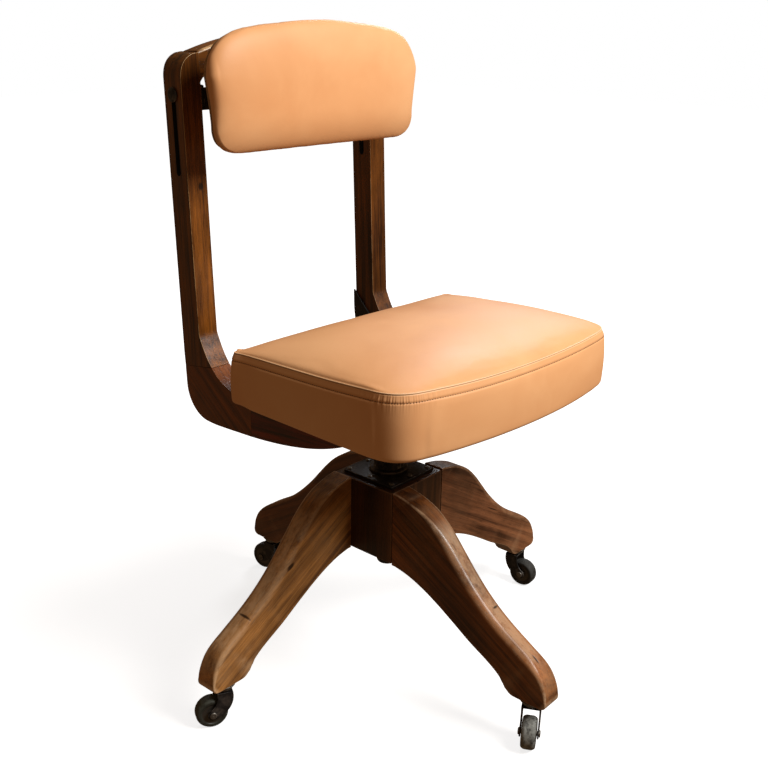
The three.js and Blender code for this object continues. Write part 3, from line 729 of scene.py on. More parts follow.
def convex_mask(piece, broad=3e-5):
    """Edge mask from the shape itself: how sharply the surface bends outward at each vertex. Vertices
    on the rim of a broad face stay at 0, so that the wear keeps to the rounded edges; on timber that
    worn colour is also a painted highlight line."""
    mask = []
    with opened(piece) as bm:
        for vertex in bm.verts:
            sharpest = 0.0
            on_rim = max((face.calc_area() for face in vertex.link_faces), default=0.0) > broad
            for edge in vertex.link_edges:
                if not on_rim and edge.is_manifold and edge.is_convex:
                    sharpest = max(sharpest, edge.calc_face_angle(0.0))
            mask.append(min(1.0, sharpest / FULLY_TURNED))
    set_attribute(piece, "edge", mask)


def turned_piece(name, origin, axis, side_axis, material, slot, segments=48, fillet=0.0006, radius_at=None):
    """Rebuilds a turned CAD node with rounded edges. radius_at is as in lathe_parts."""
    profile = turned_outline(name, origin, axis, side_axis, fillet)
    piece = welded_lathe(name, lathe_parts(profile, origin, axis, side_axis, segments, radius_at))
    convex_mask(piece)
    finish_piece(piece, material, body_of_node(name), slot, name)


def welded_lathe(name, parts):
    piece = new_piece(name + "_look", *parts)
    weld(piece)
    outward_facing(piece)
    return piece


def weld(piece, near=0.00001):
    with opened(piece) as bm:
        bmesh.ops.remove_doubles(bm, verts=bm.verts, dist=near)
        bmesh.ops.dissolve_degenerate(bm, dist=near, edges=bm.edges)
    smooth_shading(piece)


# ---------------------------------------------------------------- timbers
BASE_TURN = math.radians(3.1)       # the base stands slightly turned under the seat
LEG_TURNS = {"rear": 0, "left": 90, "front": 180, "right": 270}
LEG_ROUND = 0.0098                  # roundover on a leg's top edges, away from the hub
LEG_ROUND_BELOW = 0.0018
LEG_ROUND_AT_HUB_FACE = 0.0003
LEG_SLOPE = math.radians(-30)       # the way the grain runs in a leg
FRAME_ROUND = 0.0042                # rounded edges of the back frame
FRAME_LEAN = math.atan(0.043)
UP_THE_FRAME = Vector((0, math.sin(FRAME_LEAN), math.cos(FRAME_LEAN)))
TOP_ROUND = 0.030                   # outer top corner of each upright
SEAM_BAND = (0.421, 0.442)          # heights that hold the joint of upright and corner block
SEAM_FROM_Y = 0.150
BLOCK_TOP_Y = 0.125                 # a corner block's flat top, up to here, keeps its square edges
RAIL_TOP_Z = 0.406                  # and so does a side rail's, above this height
CREST_FILLET = 0.009                # where the crest's lower edge meets the uprights

# each timber is (dark, light, worn); the worn colour on its rounded edges is rubbing and a painted highlight line
CREST_TIMBER = ((0.028, 0.0075, 0.0008), (0.26, 0.084, 0.010), (0.60, 0.38, 0.19))
UPRIGHT_TIMBERS = {
    "left": ((0.040, 0.0098, 0.0007), (0.34, 0.108, 0.0075), (0.72, 0.47, 0.22)),
    "right": ((0.026, 0.0062, 0.0007), (0.22, 0.070, 0.0080), (0.60, 0.38, 0.19)),
}
CORNER_TIMBER = ((0.080, 0.0190, 0.0022), (0.285, 0.078, 0.0085), (0.46, 0.30, 0.17))
RAIL_TIMBER = ((0.026, 0.0028, 0.0004), (0.245, 0.028, 0.0036), (0.34, 0.13, 0.05))
HUB_TIMBER = ((0.018, 0.0050, 0.0014), (0.100, 0.035, 0.010), (0.20, 0.09, 0.04))
LEG_TIMBERS = {
    "left": ((0.095, 0.031, 0.0065), (0.53, 0.235, 0.064), (0.78, 0.52, 0.30)),
    "front": ((0.052, 0.0130, 0.0020), (0.31, 0.100, 0.020), (0.58, 0.38, 0.23)),
    "right": ((0.048, 0.0140, 0.0046), (0.29, 0.110, 0.045), (0.46, 0.26, 0.14)),
    "rear": ((0.034, 0.0085, 0.0016), (0.19, 0.062, 0.014), (0.34, 0.18, 0.09)),
}
LEG_MARKS = {               # dents, knots and cracks: (distance out, height, through the leg), half size
    "left": [((0.245, 0.149, -0.004), (0.0022, 0.009, 0.012)),
             ((0.172, 0.196, -0.016), (0.008, 0.004, 0.006))],
    "front": [((0.213, 0.168, -0.004), (0.0020, 0.007, 0.006)),
              ((0.283, 0.125, 0.001), (0.008, 0.007, 0.0018))],
    "right": [((0.185, 0.176, 0.016), (0.018, 0.0011, 0.008))],
    "rear": [((0.230, 0.120, 0.016), (0.014, 0.0012, 0.008))],
}
UPRIGHT_KNOT = Vector((-0.161, 0.192, 0.673)), (0.0060, 0.012, 0.0042)


def grain_place(point, along, across, shift=0.0):
    """A world point in the grain coordinates that grain_coordinates() stores."""
    return Vector((point.dot(along), point.dot(across) + shift, point.dot(along.cross(across)) + 2 * shift))


def raw_prism(name, loop, basis, low, high):
    """Sharp-edged prism with one face for each cap."""
    bm = bmesh.new()
    rings = [[bm.verts.new(basis[0] * u + basis[1] * v + basis[2] * w) for u, v in loop] for w in (low, high)]
    for i in range(len(loop)):
        j = (i + 1) % len(loop)
        bm.faces.new((rings[0][i], rings[0][j], rings[1][j], rings[1][i]))
    bm.faces.new(rings[0][::-1])
    bm.faces.new(rings[1])
    mesh = bpy.data.meshes.new(name)
    bm.to_mesh(mesh)
    bm.free()
    piece = bpy.data.objects.new(name, mesh)
    scene.collection.objects.link(piece)
    return piece


def boolean(piece, tool, operation):
    modifier = piece.modifiers.new("boolean", "BOOLEAN")
    modifier.operation = operation
    modifier.solver = "EXACT"
    modifier.object = tool
    apply_modifiers(piece)
    bpy.data.objects.remove(tool)


def round_edges(piece, is_joint, least_angle=0.5):
    """Rounds every sharp edge, except round the faces that butt against another timber."""
    with opened(piece) as bm:
        layers = bm.edges.layers.float
        layer = layers.get("bevel_weight_edge") or layers.new("bevel_weight_edge")
        for edge in bm.edges:
            sharp = edge.is_manifold and edge.calc_face_angle(0.0) > least_angle
            at_joint = any(is_joint(face.calc_center_median(), face.normal) for face in edge.link_faces)
            edge[layer] = 1.0 if sharp and not at_joint else 0.0
    bevel = piece.modifiers.new("bevel", "BEVEL")
    bevel.limit_method = "WEIGHT"
    bevel.width = FRAME_ROUND
    bevel.segments = 4
    bevel.use_clamp_overlap = True
    apply_modifiers(piece)
    smooth_shading(piece)


def mark_sharp(piece, least_angle=0.6):
    """Keeps the shading crisp along edges left square."""
    with opened(piece) as bm:
        for edge in bm.edges:
            edge.smooth = edge.calc_face_angle(0.0) < least_angle


def clear_of_corners(loop, reach=0.0075):
    """The outline without its points right beside a sharp corner, which leaves room to round it."""
    sharp = np.abs(turn_angles(loop)) > 0.45
    if not sharp.any():
        return loop
    from_corner = np.array([np.linalg.norm(loop[sharp] - point, axis=1).min() for point in loop])
    return loop[sharp | (from_corner > reach)]


def timber_piece(name, basis, is_joint, level=None, edit=None, shape=None):
    """Rebuilds a back-frame timber with rounded long edges and square joints. Its outline is the cut
    at a level, by default halfway. edit changes the outline, and shape the square piece."""
    low, high = extent(name, basis[2])
    middle = (low + high) / 2 if level is None else level
    loop = clear_of_corners(refined(section(name, basis, middle)[0], 0.004, 0.45))
    if edit:
        edit(loop)
    piece = raw_prism(name + "_look", loop, basis, low, high)
    if shape:
        shape(piece)
    round_edges(piece, is_joint)
    return piece


def finish_timber(piece, name, material, slot, along, across, shift):
    convex_mask(piece)
    mark_sharp(piece)
    grain_coordinates(piece, along, across, shift)
    finish_piece(piece, material, body_of_node(name), slot, name)


def leg_radius(largest):
    """Roundover of a leg: small at the hub and underneath, growing along the top to nearly half round."""
    def radius(distance, _height, out, up, _side):
        if out < -0.7:
            return LEG_ROUND_AT_HUB_FACE
        grown = 0.0022 + (largest - 0.0022) * smoothstep(distance, 0.075, 0.165)
        grown *= 1 - 0.45 * smoothstep(distance, 0.270, 0.305)
        return LEG_ROUND_BELOW + (grown - LEG_ROUND_BELOW) * smoothstep(up, -0.1, 0.5)
    return radius


def leg_piece(name):
    turn = BASE_TURN + math.radians(LEG_TURNS[name])
    out = Vector((-math.sin(turn), math.cos(turn), 0))
    sideways = Vector((math.cos(turn), math.sin(turn), 0))
    basis = (out, Z, sideways)
    node_name = "leg_" + name
    low, high = extent(node_name, sideways)
    middle = (low + high) / 2
    loop = refined(section(node_name, basis, middle)[0], 0.004, 0.6, 0.0015)
    radius = leg_radius(LEG_ROUND * (0.55 if name == "rear" else 1.0))
    verts, faces, masks = prism_parts([loop], basis, low, high, radius, steps=7)
    piece = new_piece(node_name + "_look", verts, faces)
    outward_facing(piece)
    set_attribute(piece, "edge", masks)
    along = out * math.cos(LEG_SLOPE) + Z * math.sin(LEG_SLOPE)
    across = along.cross(sideways).normalized()
    shift = 0.37 * (1 + list(LEG_TURNS).index(name))
    marks = []
    for (distance, height, through), half in LEG_MARKS[name]:
        centre = out * distance + Z * (height - 0.004) + sideways * (middle + through)
        marks.append((grain_place(centre, along, across, shift), half))
    material = wood_material("leg_wood_" + name, *LEG_TIMBERS[name], marks=marks)
    grain_coordinates(piece, along, across, shift)
    finish_piece(piece, material, "base", "leg_wood", node_name)


def near_seam(centre, normal):
    """The sloping joint between an upright and its corner block."""
    in_band = SEAM_BAND[0] < centre.z < SEAM_BAND[1] and centre.y > SEAM_FROM_Y
    return in_band and abs(normal.x) < 0.3 and abs(normal.z) > 0.95


def at_rail_end(centre, normal):
    """The butt joint between a side rail and its corner block."""
    return abs(normal.y) > 0.9 and abs(centre.y - extent("rail_left", Y)[1]) < 0.001


def corner_joint(centre, normal):
    flat_top = normal.z > 0.9 and centre.y < BLOCK_TOP_Y
    return near_seam(centre, normal) or at_rail_end(centre, normal) or flat_top


def rail_joint(centre, normal):
    flat_top = normal.z > 0.9 and centre.z > RAIL_TOP_Z
    return at_rail_end(centre, normal) or flat_top


def crest_joint(_centre, normal):
    return abs(normal.x) > 0.9


def upright_top_cutter(name, side):
    """Front view of an upright with its outer top corner rounded, as a thick slab."""
    low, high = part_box(name)
    outer = max(abs(low.x), abs(high.x))
    inner = min(abs(low.x), abs(high.x))
    top = high.z + 0.002
    start = (outer + 0.0001, top - TOP_ROUND - 0.006)
    bend = (outer, top - 0.012)
    end = (outer - 0.68 * TOP_ROUND, top - 0.005)
    margin = 0.01
    shape = [(inner - margin, low.z - margin), (outer + margin, low.z - margin), (outer + margin, start[1])]
    for t in np.arange(17) / 16:
        weights = ((1 - t) ** 2, 2 * t * (1 - t), t * t)
        shape.append([sum(w * v for w, v in zip(weights, values)) for values in zip(start, bend, end)])
    shape.append((inner - margin, top - 0.002))
    loop = np.array([(side * x, z) for x, z in shape])
    loop = loop if signed_area(loop) > 0 else loop[::-1]
    return raw_prism("cutter", loop, FRONT, -0.30, -0.05)


def slot_outline(name):
    low, high = extent(name, X)
    return section(name, SIDE, (low + high) / 2)[1]


def slot_cutter(name):
    low, high = extent(name, X)
    return raw_prism("slot", refined(slot_outline(name), 0.002, 0.9), SIDE, low - 0.01, high + 0.01)


def paint_slot_shade(piece, name, wood, black):
    """Gives the walls of the slot a near-black material: painted shade inside the slot."""
    hole = slot_outline(name)
    low, high = hole.min(0) - 0.0006, hole.max(0) + 0.0006
    piece.data.materials.clear()
    piece.data.materials.append(wood)
    piece.data.materials.append(black)
    for polygon in piece.data.polygons:
        place = np.array([polygon.center.y, polygon.center.z])
        inside = (place > low).all() and (place < high).all()
        polygon.material_index = 1 if inside and abs(polygon.normal.x) < 0.5 else 0


def upright(end, side, shift, slot_shade):
    name = "upright_" + end
    across = Vector((0, math.cos(FRAME_LEAN), -math.sin(FRAME_LEAN)))
    low, high = extent(name, X)
    inner = low if side > 0 else high
    knots = []
    if side < 0:
        place, half = UPRIGHT_KNOT
        knots = [(grain_place(place, UP_THE_FRAME, across, shift), half)]
    material = wood_material("upright_wood_" + end, *UPRIGHT_TIMBERS[end], marks=knots)
    piece = timber_piece(name, SIDE, near_seam, level=inner + side * 0.004,
                         shape=lambda square: boolean(square, upright_top_cutter(name, side), "INTERSECT"))
    boolean(piece, slot_cutter(name), "DIFFERENCE")
    paint_slot_shade(piece, name, material, slot_shade)
    finish_timber(piece, name, material, "frame_wood", UP_THE_FRAME, across, shift)


def crest_rail(material):
    forward = X.cross(UP_THE_FRAME)
    half = extent("crest_rail", X)[1]

    def add_fillets(loop):
        middle = loop[:, 1].mean()
        for point in loop:
            reach = abs(point[0]) - (half - CREST_FILLET)
            if point[1] < middle and reach > 0:
                point[1] -= CREST_FILLET - math.sqrt(max(0.0, CREST_FILLET**2 - reach**2))

    piece = timber_piece("crest_rail", (X, UP_THE_FRAME, forward), crest_joint, edit=add_fillets)
    finish_timber(piece, "crest_rail", material, "frame_wood", X, UP_THE_FRAME, 0.5)


def back_frame(slot_shade):
    frame_wood = wood_material("frame_wood", *CREST_TIMBER)
    corner_wood = wood_material("corner_wood", *CORNER_TIMBER)
    rail_wood = wood_material("rail_wood", *RAIL_TIMBER)
    up_the_corner = Vector((0, 0.80, 0.60)).normalized()
    along_the_rail = Vector((0, 1, -0.10)).normalized()
    for end, side, shift in (("left", -1, 0.21), ("right", 1, 0.83)):
        upright(end, side, shift, slot_shade)
        for name, along, joint, wood, slot, further in (
                ("corner_block_", up_the_corner, corner_joint, corner_wood, "corner_wood", 0),
                ("rail_", along_the_rail, rail_joint, rail_wood, "frame_wood", 0.4)):
            piece = timber_piece(name + end, SIDE, joint)
            finish_timber(piece, name + end, wood, slot, along, along.cross(X), shift + further)
    crest_rail(frame_wood)
    return frame_wood


# ---------------------------------------------------------------- hub, column and casters
BASE_SIDE = Vector((-math.sin(BASE_TURN), math.cos(BASE_TURN), 0))
BASE_OUT = Vector((math.cos(BASE_TURN), math.sin(BASE_TURN), 0))
THREAD_PITCH = 0.008
THREAD_DEPTH = 0.0016
THREAD_STRETCH = (0.130, 0.196)     # where the thread starts and ends, above the spindle's foot
SPINDLE_CHAMFER = (0.0012, 0.0015)
NUT_GRIP = 0.0065                   # the nut's notches start this far above its foot
NUT_NOTCH = 0.0026
BAR_PLATE = 0.004                   # thickness of the pivot bar's end plates
FORK_PLATE = 0.0019
WHEEL_CORE = 0.0142                 # radius of the wheel's steel core
TREAD_FROM = 0.0175                 # radius where the dusty tread begins


def steel_parts(black, bright, gusset_black):
    for name, fillet in (("hub_sleeve", 0.0006), ("hub_cap", 0.0015)):
        turned_piece(name, ORIGIN, Z, BASE_SIDE, black, "black_steel", fillet=fillet)
    prism_piece("hub_plate", (BASE_OUT, BASE_SIDE, Z), 0.0009, black, "black_steel", step=0.002)
    for number in range(1, 9):
        name = f"plate_screw_{number}"
        low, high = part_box(name)
        centre = (low + high) / 2
        turned_piece(name, Vector((centre.x, centre.y, 0)), Z, BASE_SIDE, bright, "worn_steel", 20, 0.0005)
    height_nut(black)
    spindle(bright)
    for end in ("left", "right"):
        prism_piece("gusset_" + end, SIDE, 0.0006, gusset_black, "black_steel")
        low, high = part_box("slot_bolt_" + end)
        centre = (low + high) / 2
        on_axis = Vector((0, centre.y, centre.z))
        turned_piece("slot_bolt_" + end, on_axis, X, Y, black, "black_steel", 40, 0.0008)
    pivot_bar(black)


def hub_and_battens(batten_wood):
    hub_wood = wood_material("hub_wood", *HUB_TIMBER)
    basis = (BASE_OUT, BASE_SIDE, Z)
    prism_piece("hub_block", basis, 0.0016, hub_wood, "frame_wood", Z, BASE_OUT, 0.9, 0.0014)
    for name, shift in (("batten_front", 1.3), ("batten_rear", 1.7)):
        prism_piece(name, SIDE, 0.002, batten_wood, "leg_wood", X, Y, shift)


def height_nut(black):
    grip_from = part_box("height_nut")[0].z + NUT_GRIP

    def notched(angle, r, h):
        if h < grip_from or r < 0.017:
            return r
        away = abs((angle + math.pi / 6) % (math.pi / 3) - math.pi / 6)
        return r - NUT_NOTCH * (1 - smoothstep(away, 0.06, 0.17))

    turned_piece("height_nut", ORIGIN, Z, Y, black, "black_steel", 120, 0.0012, notched)


def spindle(bright):
    """The column, with a real helical thread where the CAD node has plain rings."""
    low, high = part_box("spindle")
    radius = (high.x - low.x) / 2
    narrowed, chamfer = radius - SPINDLE_CHAMFER[0], SPINDLE_CHAMFER[1]
    thread_from, thread_to = (low.z + height for height in THREAD_STRETCH)
    levels = [low.z + chamfer, *np.arange(low.z + 0.01, thread_from, 0.02),
              *np.arange(thread_from, thread_to, 0.0008), high.z - chamfer]
    profile = [(0.0, low.z), (narrowed, low.z)]
    profile += [(radius, h) for h in levels]
    profile += [(narrowed, high.z), (0.0, high.z)]

    def threaded(angle, r, h):
        if not thread_from < h < thread_to or r < 0.005:
            return r
        phase = (h / THREAD_PITCH * 2 - angle / (2 * math.pi)) % 1.0
        return r - THREAD_DEPTH * (0.5 + 0.5 * math.cos(2 * math.pi * phase)) ** 1.5

    piece = welded_lathe("spindle", lathe_parts(profile[::-1], ORIGIN, Z, Y, 48, threaded))
    convex_mask(piece)
    finish_piece(piece, bright, "column", "worn_steel", "spindle", smooth_flats=False)


def plates_piece(name, parts):
    """One piece made of several (verts, faces, edge mask) sets."""
    verts, faces, masks = joined(parts)
    piece = new_piece(name + "_look", verts, faces)
    outward_facing(piece)
    set_attribute(piece, "edge", masks)
    return piece


def pivot_bar(black):
    low, high = extent("pivot_bar", X)

    def cut(level, step):
        return [refined(x, step, 0.5, 0.001) for x in section("pivot_bar", SIDE, level)]

    parts = [prism_parts(cut(0.0, 0.006), SIDE, low + BAR_PLATE, high - BAR_PLATE, 0.0008)]
    for start in (low, high - BAR_PLATE):
        parts.append(prism_parts(cut(start + BAR_PLATE / 2, 0.003), SIDE, start, start + BAR_PLATE, 0.0008))
    finish_piece(plates_piece("pivot_bar", parts), black, "back_rest", "black_steel", "pivot_bar")


def caster_wheel(name, centre, axle, bright, rubber):
    node_name = "caster_wheel_" + name
    profile = turned_outline(node_name, centre, axle, Z, 0.0016, 0.002)
    wheel = welded_lathe(node_name, lathe_parts(profile, centre, axle, Z, 64))
    local = coordinates(wheel) - np.array(centre)
    reach = np.linalg.norm(local - np.outer(local @ np.array(axle), np.array(axle)), axis=1)
    set_attribute(wheel, "tread", np.clip((reach - TREAD_FROM) / 0.0025, 0.12, 1))
    set_attribute(wheel, "edge", np.zeros(len(reach)))
    wheel.data.materials.append(rubber)
    wheel.data.materials.append(bright)
    for polygon in wheel.data.polygons:
        if all(reach[i] < WHEEL_CORE for i in polygon.vertices):
            polygon.material_index = 1
    finish_piece(wheel, rubber, "wheel_" + name, "wheel_rubber", node_name)


def caster_fork(name, heading, axle, black):
    node_name = "caster_fork_" + name
    low, high = extent(node_name, axle)
    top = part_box(node_name)[1].z

    def plate(basis, start):
        level = start + FORK_PLATE / 2
        loops = [refined(x, 0.0025, 0.5, 0.0006) for x in section(node_name, basis, level)]
        return prism_parts(loops, basis, start, start + FORK_PLATE, 0.0006)

    arms = [plate((heading, Z, axle), start) for start in (low, high - FORK_PLATE)]
    crown = plate((heading, axle * -1, Z), top - FORK_PLATE)
    finish_piece(plates_piece(node_name, [*arms, crown]), black, "caster_" + name, "black_steel", node_name)


def caster(name, black, bright, rubber):
    joints = {joint["name"]: joint for joint in frame["joints"]}
    swivel = Vector(joints["caster_swivel_" + name]["pos_m"])
    centre = Vector(joints["wheel_spin_" + name]["pos_m"])
    heading = Vector((centre.x - swivel.x, centre.y - swivel.y, 0)).normalized()
    axle = heading.cross(Z)
    foot = Vector((swivel.x, swivel.y, 0))
    turned_piece("caster_stem_" + name, foot, Z, axle, bright, "worn_steel", 32)
    turned_piece("caster_race_" + name, foot, Z, axle, bright, "worn_steel", 32, 0.001)
    turned_piece("caster_axle_" + name, centre, axle, Z, bright, "worn_steel", 24, 0.0008)
    caster_wheel(name, centre, axle, bright, rubber)
    caster_fork(name, heading, axle, black)


# ---------------------------------------------------------------- cushions
CLOTH_FRAMES = 20
CLOTH_VOXEL = 0.0055
CLOTH_PRESSURE = 4.0
CLOTH_CAP = 0.012           # no vertex swells further than this
STITCH_SECTIONS = (         # along a stitch: share of its length, share of its thickness, height
    (-0.5, 0.25, -0.5), (-0.36, 0.85, 0.15), (0.0, 1.0, 0.45), (0.36, 0.85, 0.15), (0.5, 0.25, -0.5))


def evenly(loop, count, density=None):
    """The outline again with count points, and each one's share of the way round. density(points)
    says how much closer together the points lie in places."""
    closed = np.vstack([loop, loop[:1]])
    steps = np.linalg.norm(np.diff(closed, axis=0), axis=1)
    run = np.concatenate([[0], np.cumsum(steps)])
    weights = density((closed[1:] + closed[:-1]) / 2) if density else np.ones(len(steps))
    weighted = np.concatenate([[0], np.cumsum(steps * weights)])
    at = np.interp(np.linspace(0, weighted[-1], count, endpoint=False), weighted, run)
    return np.stack([np.interp(at, run, closed[:, k]) for k in (0, 1)], 1), at / run[-1]


def ring_mesh(name, rings, first_centre, last_centre):
    """Closed skin over rings of equal count, with a fan at each end."""
    count = len(rings[0])
    verts = [tuple(p) for ring in rings for p in ring] + [tuple(first_centre), tuple(last_centre)]
    faces = []
    for r in range(len(rings) - 1):
        for i in range(count):
            j = (i + 1) % count
            faces.append((r * count + i, r * count + j, (r + 1) * count + j, (r + 1) * count + i))
    last = (len(rings) - 1) * count
    for i in range(count):
        j = (i + 1) % count
        faces.append((len(rings) * count, j, i))
        faces.append((len(rings) * count + 1, last + i, last + j))
    piece = new_piece(name, verts, faces)
    outward_facing(piece)
    return piece


def read_vectors(collection, key):
    values = np.zeros(len(collection) * 3, np.float32)
    collection.foreach_get(key, values)
    return values.reshape(-1, 3).astype(float)


def vertex_normals(piece):
    piece.data.update()
    return read_vectors(piece.data.vertex_normals, "vector")


def coordinates(piece):
    return read_vectors(piece.data.vertices, "co")


def move_vertices(piece, places):
    piece.data.vertices.foreach_set("co", places.astype(np.float32).ravel())
    piece.data.update()


def on_all_rings(values, rings):
    """One ring's values repeated for every ring of a ring_mesh, and zeros for its two end points."""
    values = np.asarray(values)
    return np.concatenate([*[values] * rings, np.zeros((2, *values.shape[1:]))])


def vertex_tags(tags, count):
    """Each vertex's tag, from a tag for each ring. The end points have their nearest ring's."""
    return np.array([tag for tag in tags for _ in range(count)] + [tags[0], tags[-1]])


def neighbour_average(piece, values, rounds):
    edges = np.array([e.vertices[:] for e in piece.data.edges])
    for _ in range(rounds):
        total = np.zeros_like(values)
        count = np.zeros(len(values))
        for a, b in ((0, 1), (1, 0)):
            np.add.at(total, edges[:, a], values[edges[:, b]])
            np.add.at(count, edges[:, a], 1)
        values = 0.5 * values + 0.5 * total / np.maximum(count, 1)[:, None]
    return values


def cloth_swell(piece, voxel, pressure, cap, held):
    """Swells a copy of a closed form with cloth simulation, and returns how each of the piece's
    vertices moves. held(point) says which vertices stay where they are."""
    copy = bpy.data.objects.new(piece.name + "_cloth", piece.data.copy())
    scene.collection.objects.link(copy)
    remesh = copy.modifiers.new("remesh", "REMESH")
    remesh.mode = "VOXEL"
    remesh.voxel_size = voxel
    apply_modifiers(copy)
    start = coordinates(copy)
    group = copy.vertex_groups.new(name="held")
    group.add([i for i, point in enumerate(start) if held(point)], 1.0, "REPLACE")
    cloth = copy.modifiers.new("cloth", "CLOTH")
    settings = cloth.settings
    settings.quality = 5
    settings.mass = 0.25
    settings.tension_stiffness = 25
    settings.compression_stiffness = 25
    settings.shear_stiffness = 12
    settings.bending_stiffness = 2.0
    settings.use_pressure = True
    settings.uniform_pressure_force = pressure
    settings.vertex_group_mass = "held"
    settings.effector_weights.gravity = 0
    cloth.collision_settings.use_collision = False
    cloth.point_cache.frame_start = 1
    cloth.point_cache.frame_end = CLOTH_FRAMES
    for step in range(1, CLOTH_FRAMES + 1):
        scene.frame_set(step)
    evaluated = copy.evaluated_get(bpy.context.evaluated_depsgraph_get())
    swollen = np.array([v.co for v in evaluated.data.vertices], float)
    scene.frame_set(1)
    moved = swollen - start
    far = np.linalg.norm(moved, axis=1)
    moved *= (cap * np.tanh(far / cap) / np.maximum(far, 1e-9))[:, None]
    tree = KDTree(len(start))
    for i, point in enumerate(start):
        tree.insert(point, i)
    tree.balance()
    mesh = copy.data
    bpy.data.objects.remove(copy)
    bpy.data.meshes.remove(mesh)
    result = np.zeros((len(piece.data.vertices), 3))
    for i, point in enumerate(coordinates(piece)):
        nearest = tree.find_n(point, 12)
        weights = np.array([math.exp(-(distance / voxel) ** 2) + 1e-6 for _, _, distance in nearest])
        result[i] = weights @ moved[[index for _, index, _ in nearest]] / weights.sum()
    return result


def stitch_row(name, points, normals, pitch, length, thickness):
    """A row of separate thread stitches laid along a closed path."""
    closed = np.vstack([points, points[:1]])
    closed_normals = np.vstack([normals, normals[:1]])
    run = np.concatenate([[0], np.cumsum(np.linalg.norm(np.diff(closed, axis=0), axis=1))])

    def sample(values, at):
        return np.array([np.interp(at % run[-1], run, values[:, k]) for k in range(3)])

    count = int(run[-1] / pitch)
    verts, faces = [], []
    sides = 6
    around = [2 * math.pi * k / sides for k in range(sides)]
    for s in range(count):
        middle = s * run[-1] / count
        start = len(verts)
        for share, fat, lift in STITCH_SECTIONS:
            at = (middle + share * length) % run[-1]
            place, ahead = sample(closed, at), sample(closed, at + 0.0005)
            normal = sample(closed_normals, at)
            normal /= np.linalg.norm(normal)
            way = ahead - place
            way /= max(np.linalg.norm(way), 1e-9)
            aside = np.cross(way, normal)
            for angle in around:
                offset = aside * math.cos(angle) + normal * math.sin(angle)
                verts.append(place + normal * lift * thickness + offset * fat * thickness / 2)
        for ring in range(len(STITCH_SECTIONS) - 1):
            for k in range(sides):
                m = (k + 1) % sides
                a, b = start + ring * sides, start + (ring + 1) * sides
                faces.append((a + k, a + m, b + m, b + k))
        faces.append(tuple(start + k for k in reversed(range(sides))))
        faces.append(tuple(start + (len(STITCH_SECTIONS) - 1) * sides + k for k in range(sides)))
    piece = new_piece(name, verts, faces)
    outward_facing(piece)
    return piece


def height_line(name, pick):
    """A node's top (pick=max) or bottom (pick=min) plane as height over y."""
    points = node_points(name, PLAN)
    low, high = points[:, 1].min(), points[:, 1].max()
    at_low = pick(points[points[:, 1] < low + 0.002][:, 2])
    at_high = pick(points[points[:, 1] > high - 0.002][:, 2])
    return lambda y: at_low + (at_high - at_low) * (y - low) / (high - low)


START_INSET = 0.0045        # the cushions start this much smaller, and swell out again
SEAT_POINTS = 760
SEAT_CROWN = 0.0200
SEAT_BOTTOM_ROUND = 0.0065
SEAT_TOP_RINGS = 34
SEAT_LIP_ROUND = 0.0012
TOP_SWELL = 0.005           # how much the simulated swelling shapes the broad faces
SEAM_DROP = 0.0078          # the seam lies this far below the CAD top plane
STITCH_DROP = 0.0088        # second row of stitches below the seam
STITCH_PITCH, STITCH_LENGTH, STITCH_THICKNESS = 0.0036, 0.0023, 0.0008
PAD_POINTS = 400
PAD_FACE_RINGS = 44
PAD_LEAN = math.atan(0.045)
PAD_UP = Vector((0, math.sin(PAD_LEAN), math.cos(PAD_LEAN)))
PAD_BASIS = (X, PAD_UP, X.cross(PAD_UP))    # across, up and forward
PAD_NARROWING = 0.046       # how much narrower the pad is towards its top than at its lower edge
PAD_DEEPENING = 0.0026      # how far its lower edge hangs below the CAD outline
PAD_SQUARING = 0.0030       # how far its top corners stand above the CAD outline
PAD_SHIFT = -0.0040         # the pad sits a little off the middle of its bar
PAD_SLIMMING = 0.0040       # how far its face lies behind the CAD one


def wave(count, seed):
    """A smooth random ripple, about count waves round a closed path, as a function of the share 0..1."""
    draw = random.Random(seed)
    terms = [(draw.randint(count // 2, count * 2), draw.uniform(0, 2 * math.pi), draw.uniform(0.4, 1))
             for _ in range(6)]
    return lambda share: sum(size * np.sin(2 * math.pi * n * share + phase) for n, phase, size in terms) / 6


def cushion_swell(piece, is_side, held):
    """The simulated swelling of each vertex, smoothed and eased to 0..1."""
    moved = neighbour_average(piece, cloth_swell(piece, CLOTH_VOXEL, CLOTH_PRESSURE, CLOTH_CAP, held), 6)
    outward = np.maximum((moved * vertex_normals(piece)).sum(1), 0)
    outward = neighbour_average(piece, outward[:, None], 25)[:, 0]
    return np.tanh(1.6 * outward / np.median(outward[is_side]))


def dome(loop, powers):
    """A smooth crown over an outline, as a function of the place: 1 in the middle and 0 all round.
    powers say how square it is along the second and the first direction."""
    def chains(k):
        start = int(loop[:, k].argmin())
        rolled = np.roll(loop, -start, 0)
        cut = int(rolled[:, k].argmax())
        both = rolled[:cut + 1], np.vstack([rolled[cut:], rolled[:1]])[::-1]
        return [(np.maximum.accumulate(chain[:, k]), chain[:, 1 - k]) for chain in both]
    sides = [chains(0), chains(1)]

    def height(place):
        result = 1.0
        for k in (0, 1):
            one, other = (np.interp(place[k], *chain) for chain in sides[k])
            away = abs(place[1 - k] - (one + other) / 2) / max(abs(one - other) / 2, 1e-6)
            result *= 1 - min(1.0, away) ** powers[k]
        return result
    return height


def near(points, place, reach):
    """A smooth bump: 1 at a place and 0 away from it."""
    return np.exp(-(np.linalg.norm(points[:, :2] - place, axis=1) / reach) ** 2)


def seat_outline():
    """The seat's plan as even points, closer at the front corners, with their shares of the way round
    and the places of the two front corners."""
    low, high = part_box("seat_cushion")
    loop = refined(section("seat_cushion", PLAN, (low.z + high.z) / 2)[0], 0.003, 0.6)
    corners = [np.array([x, low.y + 0.045]) for x in (low.x + 0.022, high.x - 0.022)]

    def density(points):
        return 1 + 2.2 * sum(near(points, corner, 0.055) for corner in corners)

    return *evenly(loop, SEAT_POINTS, density), corners


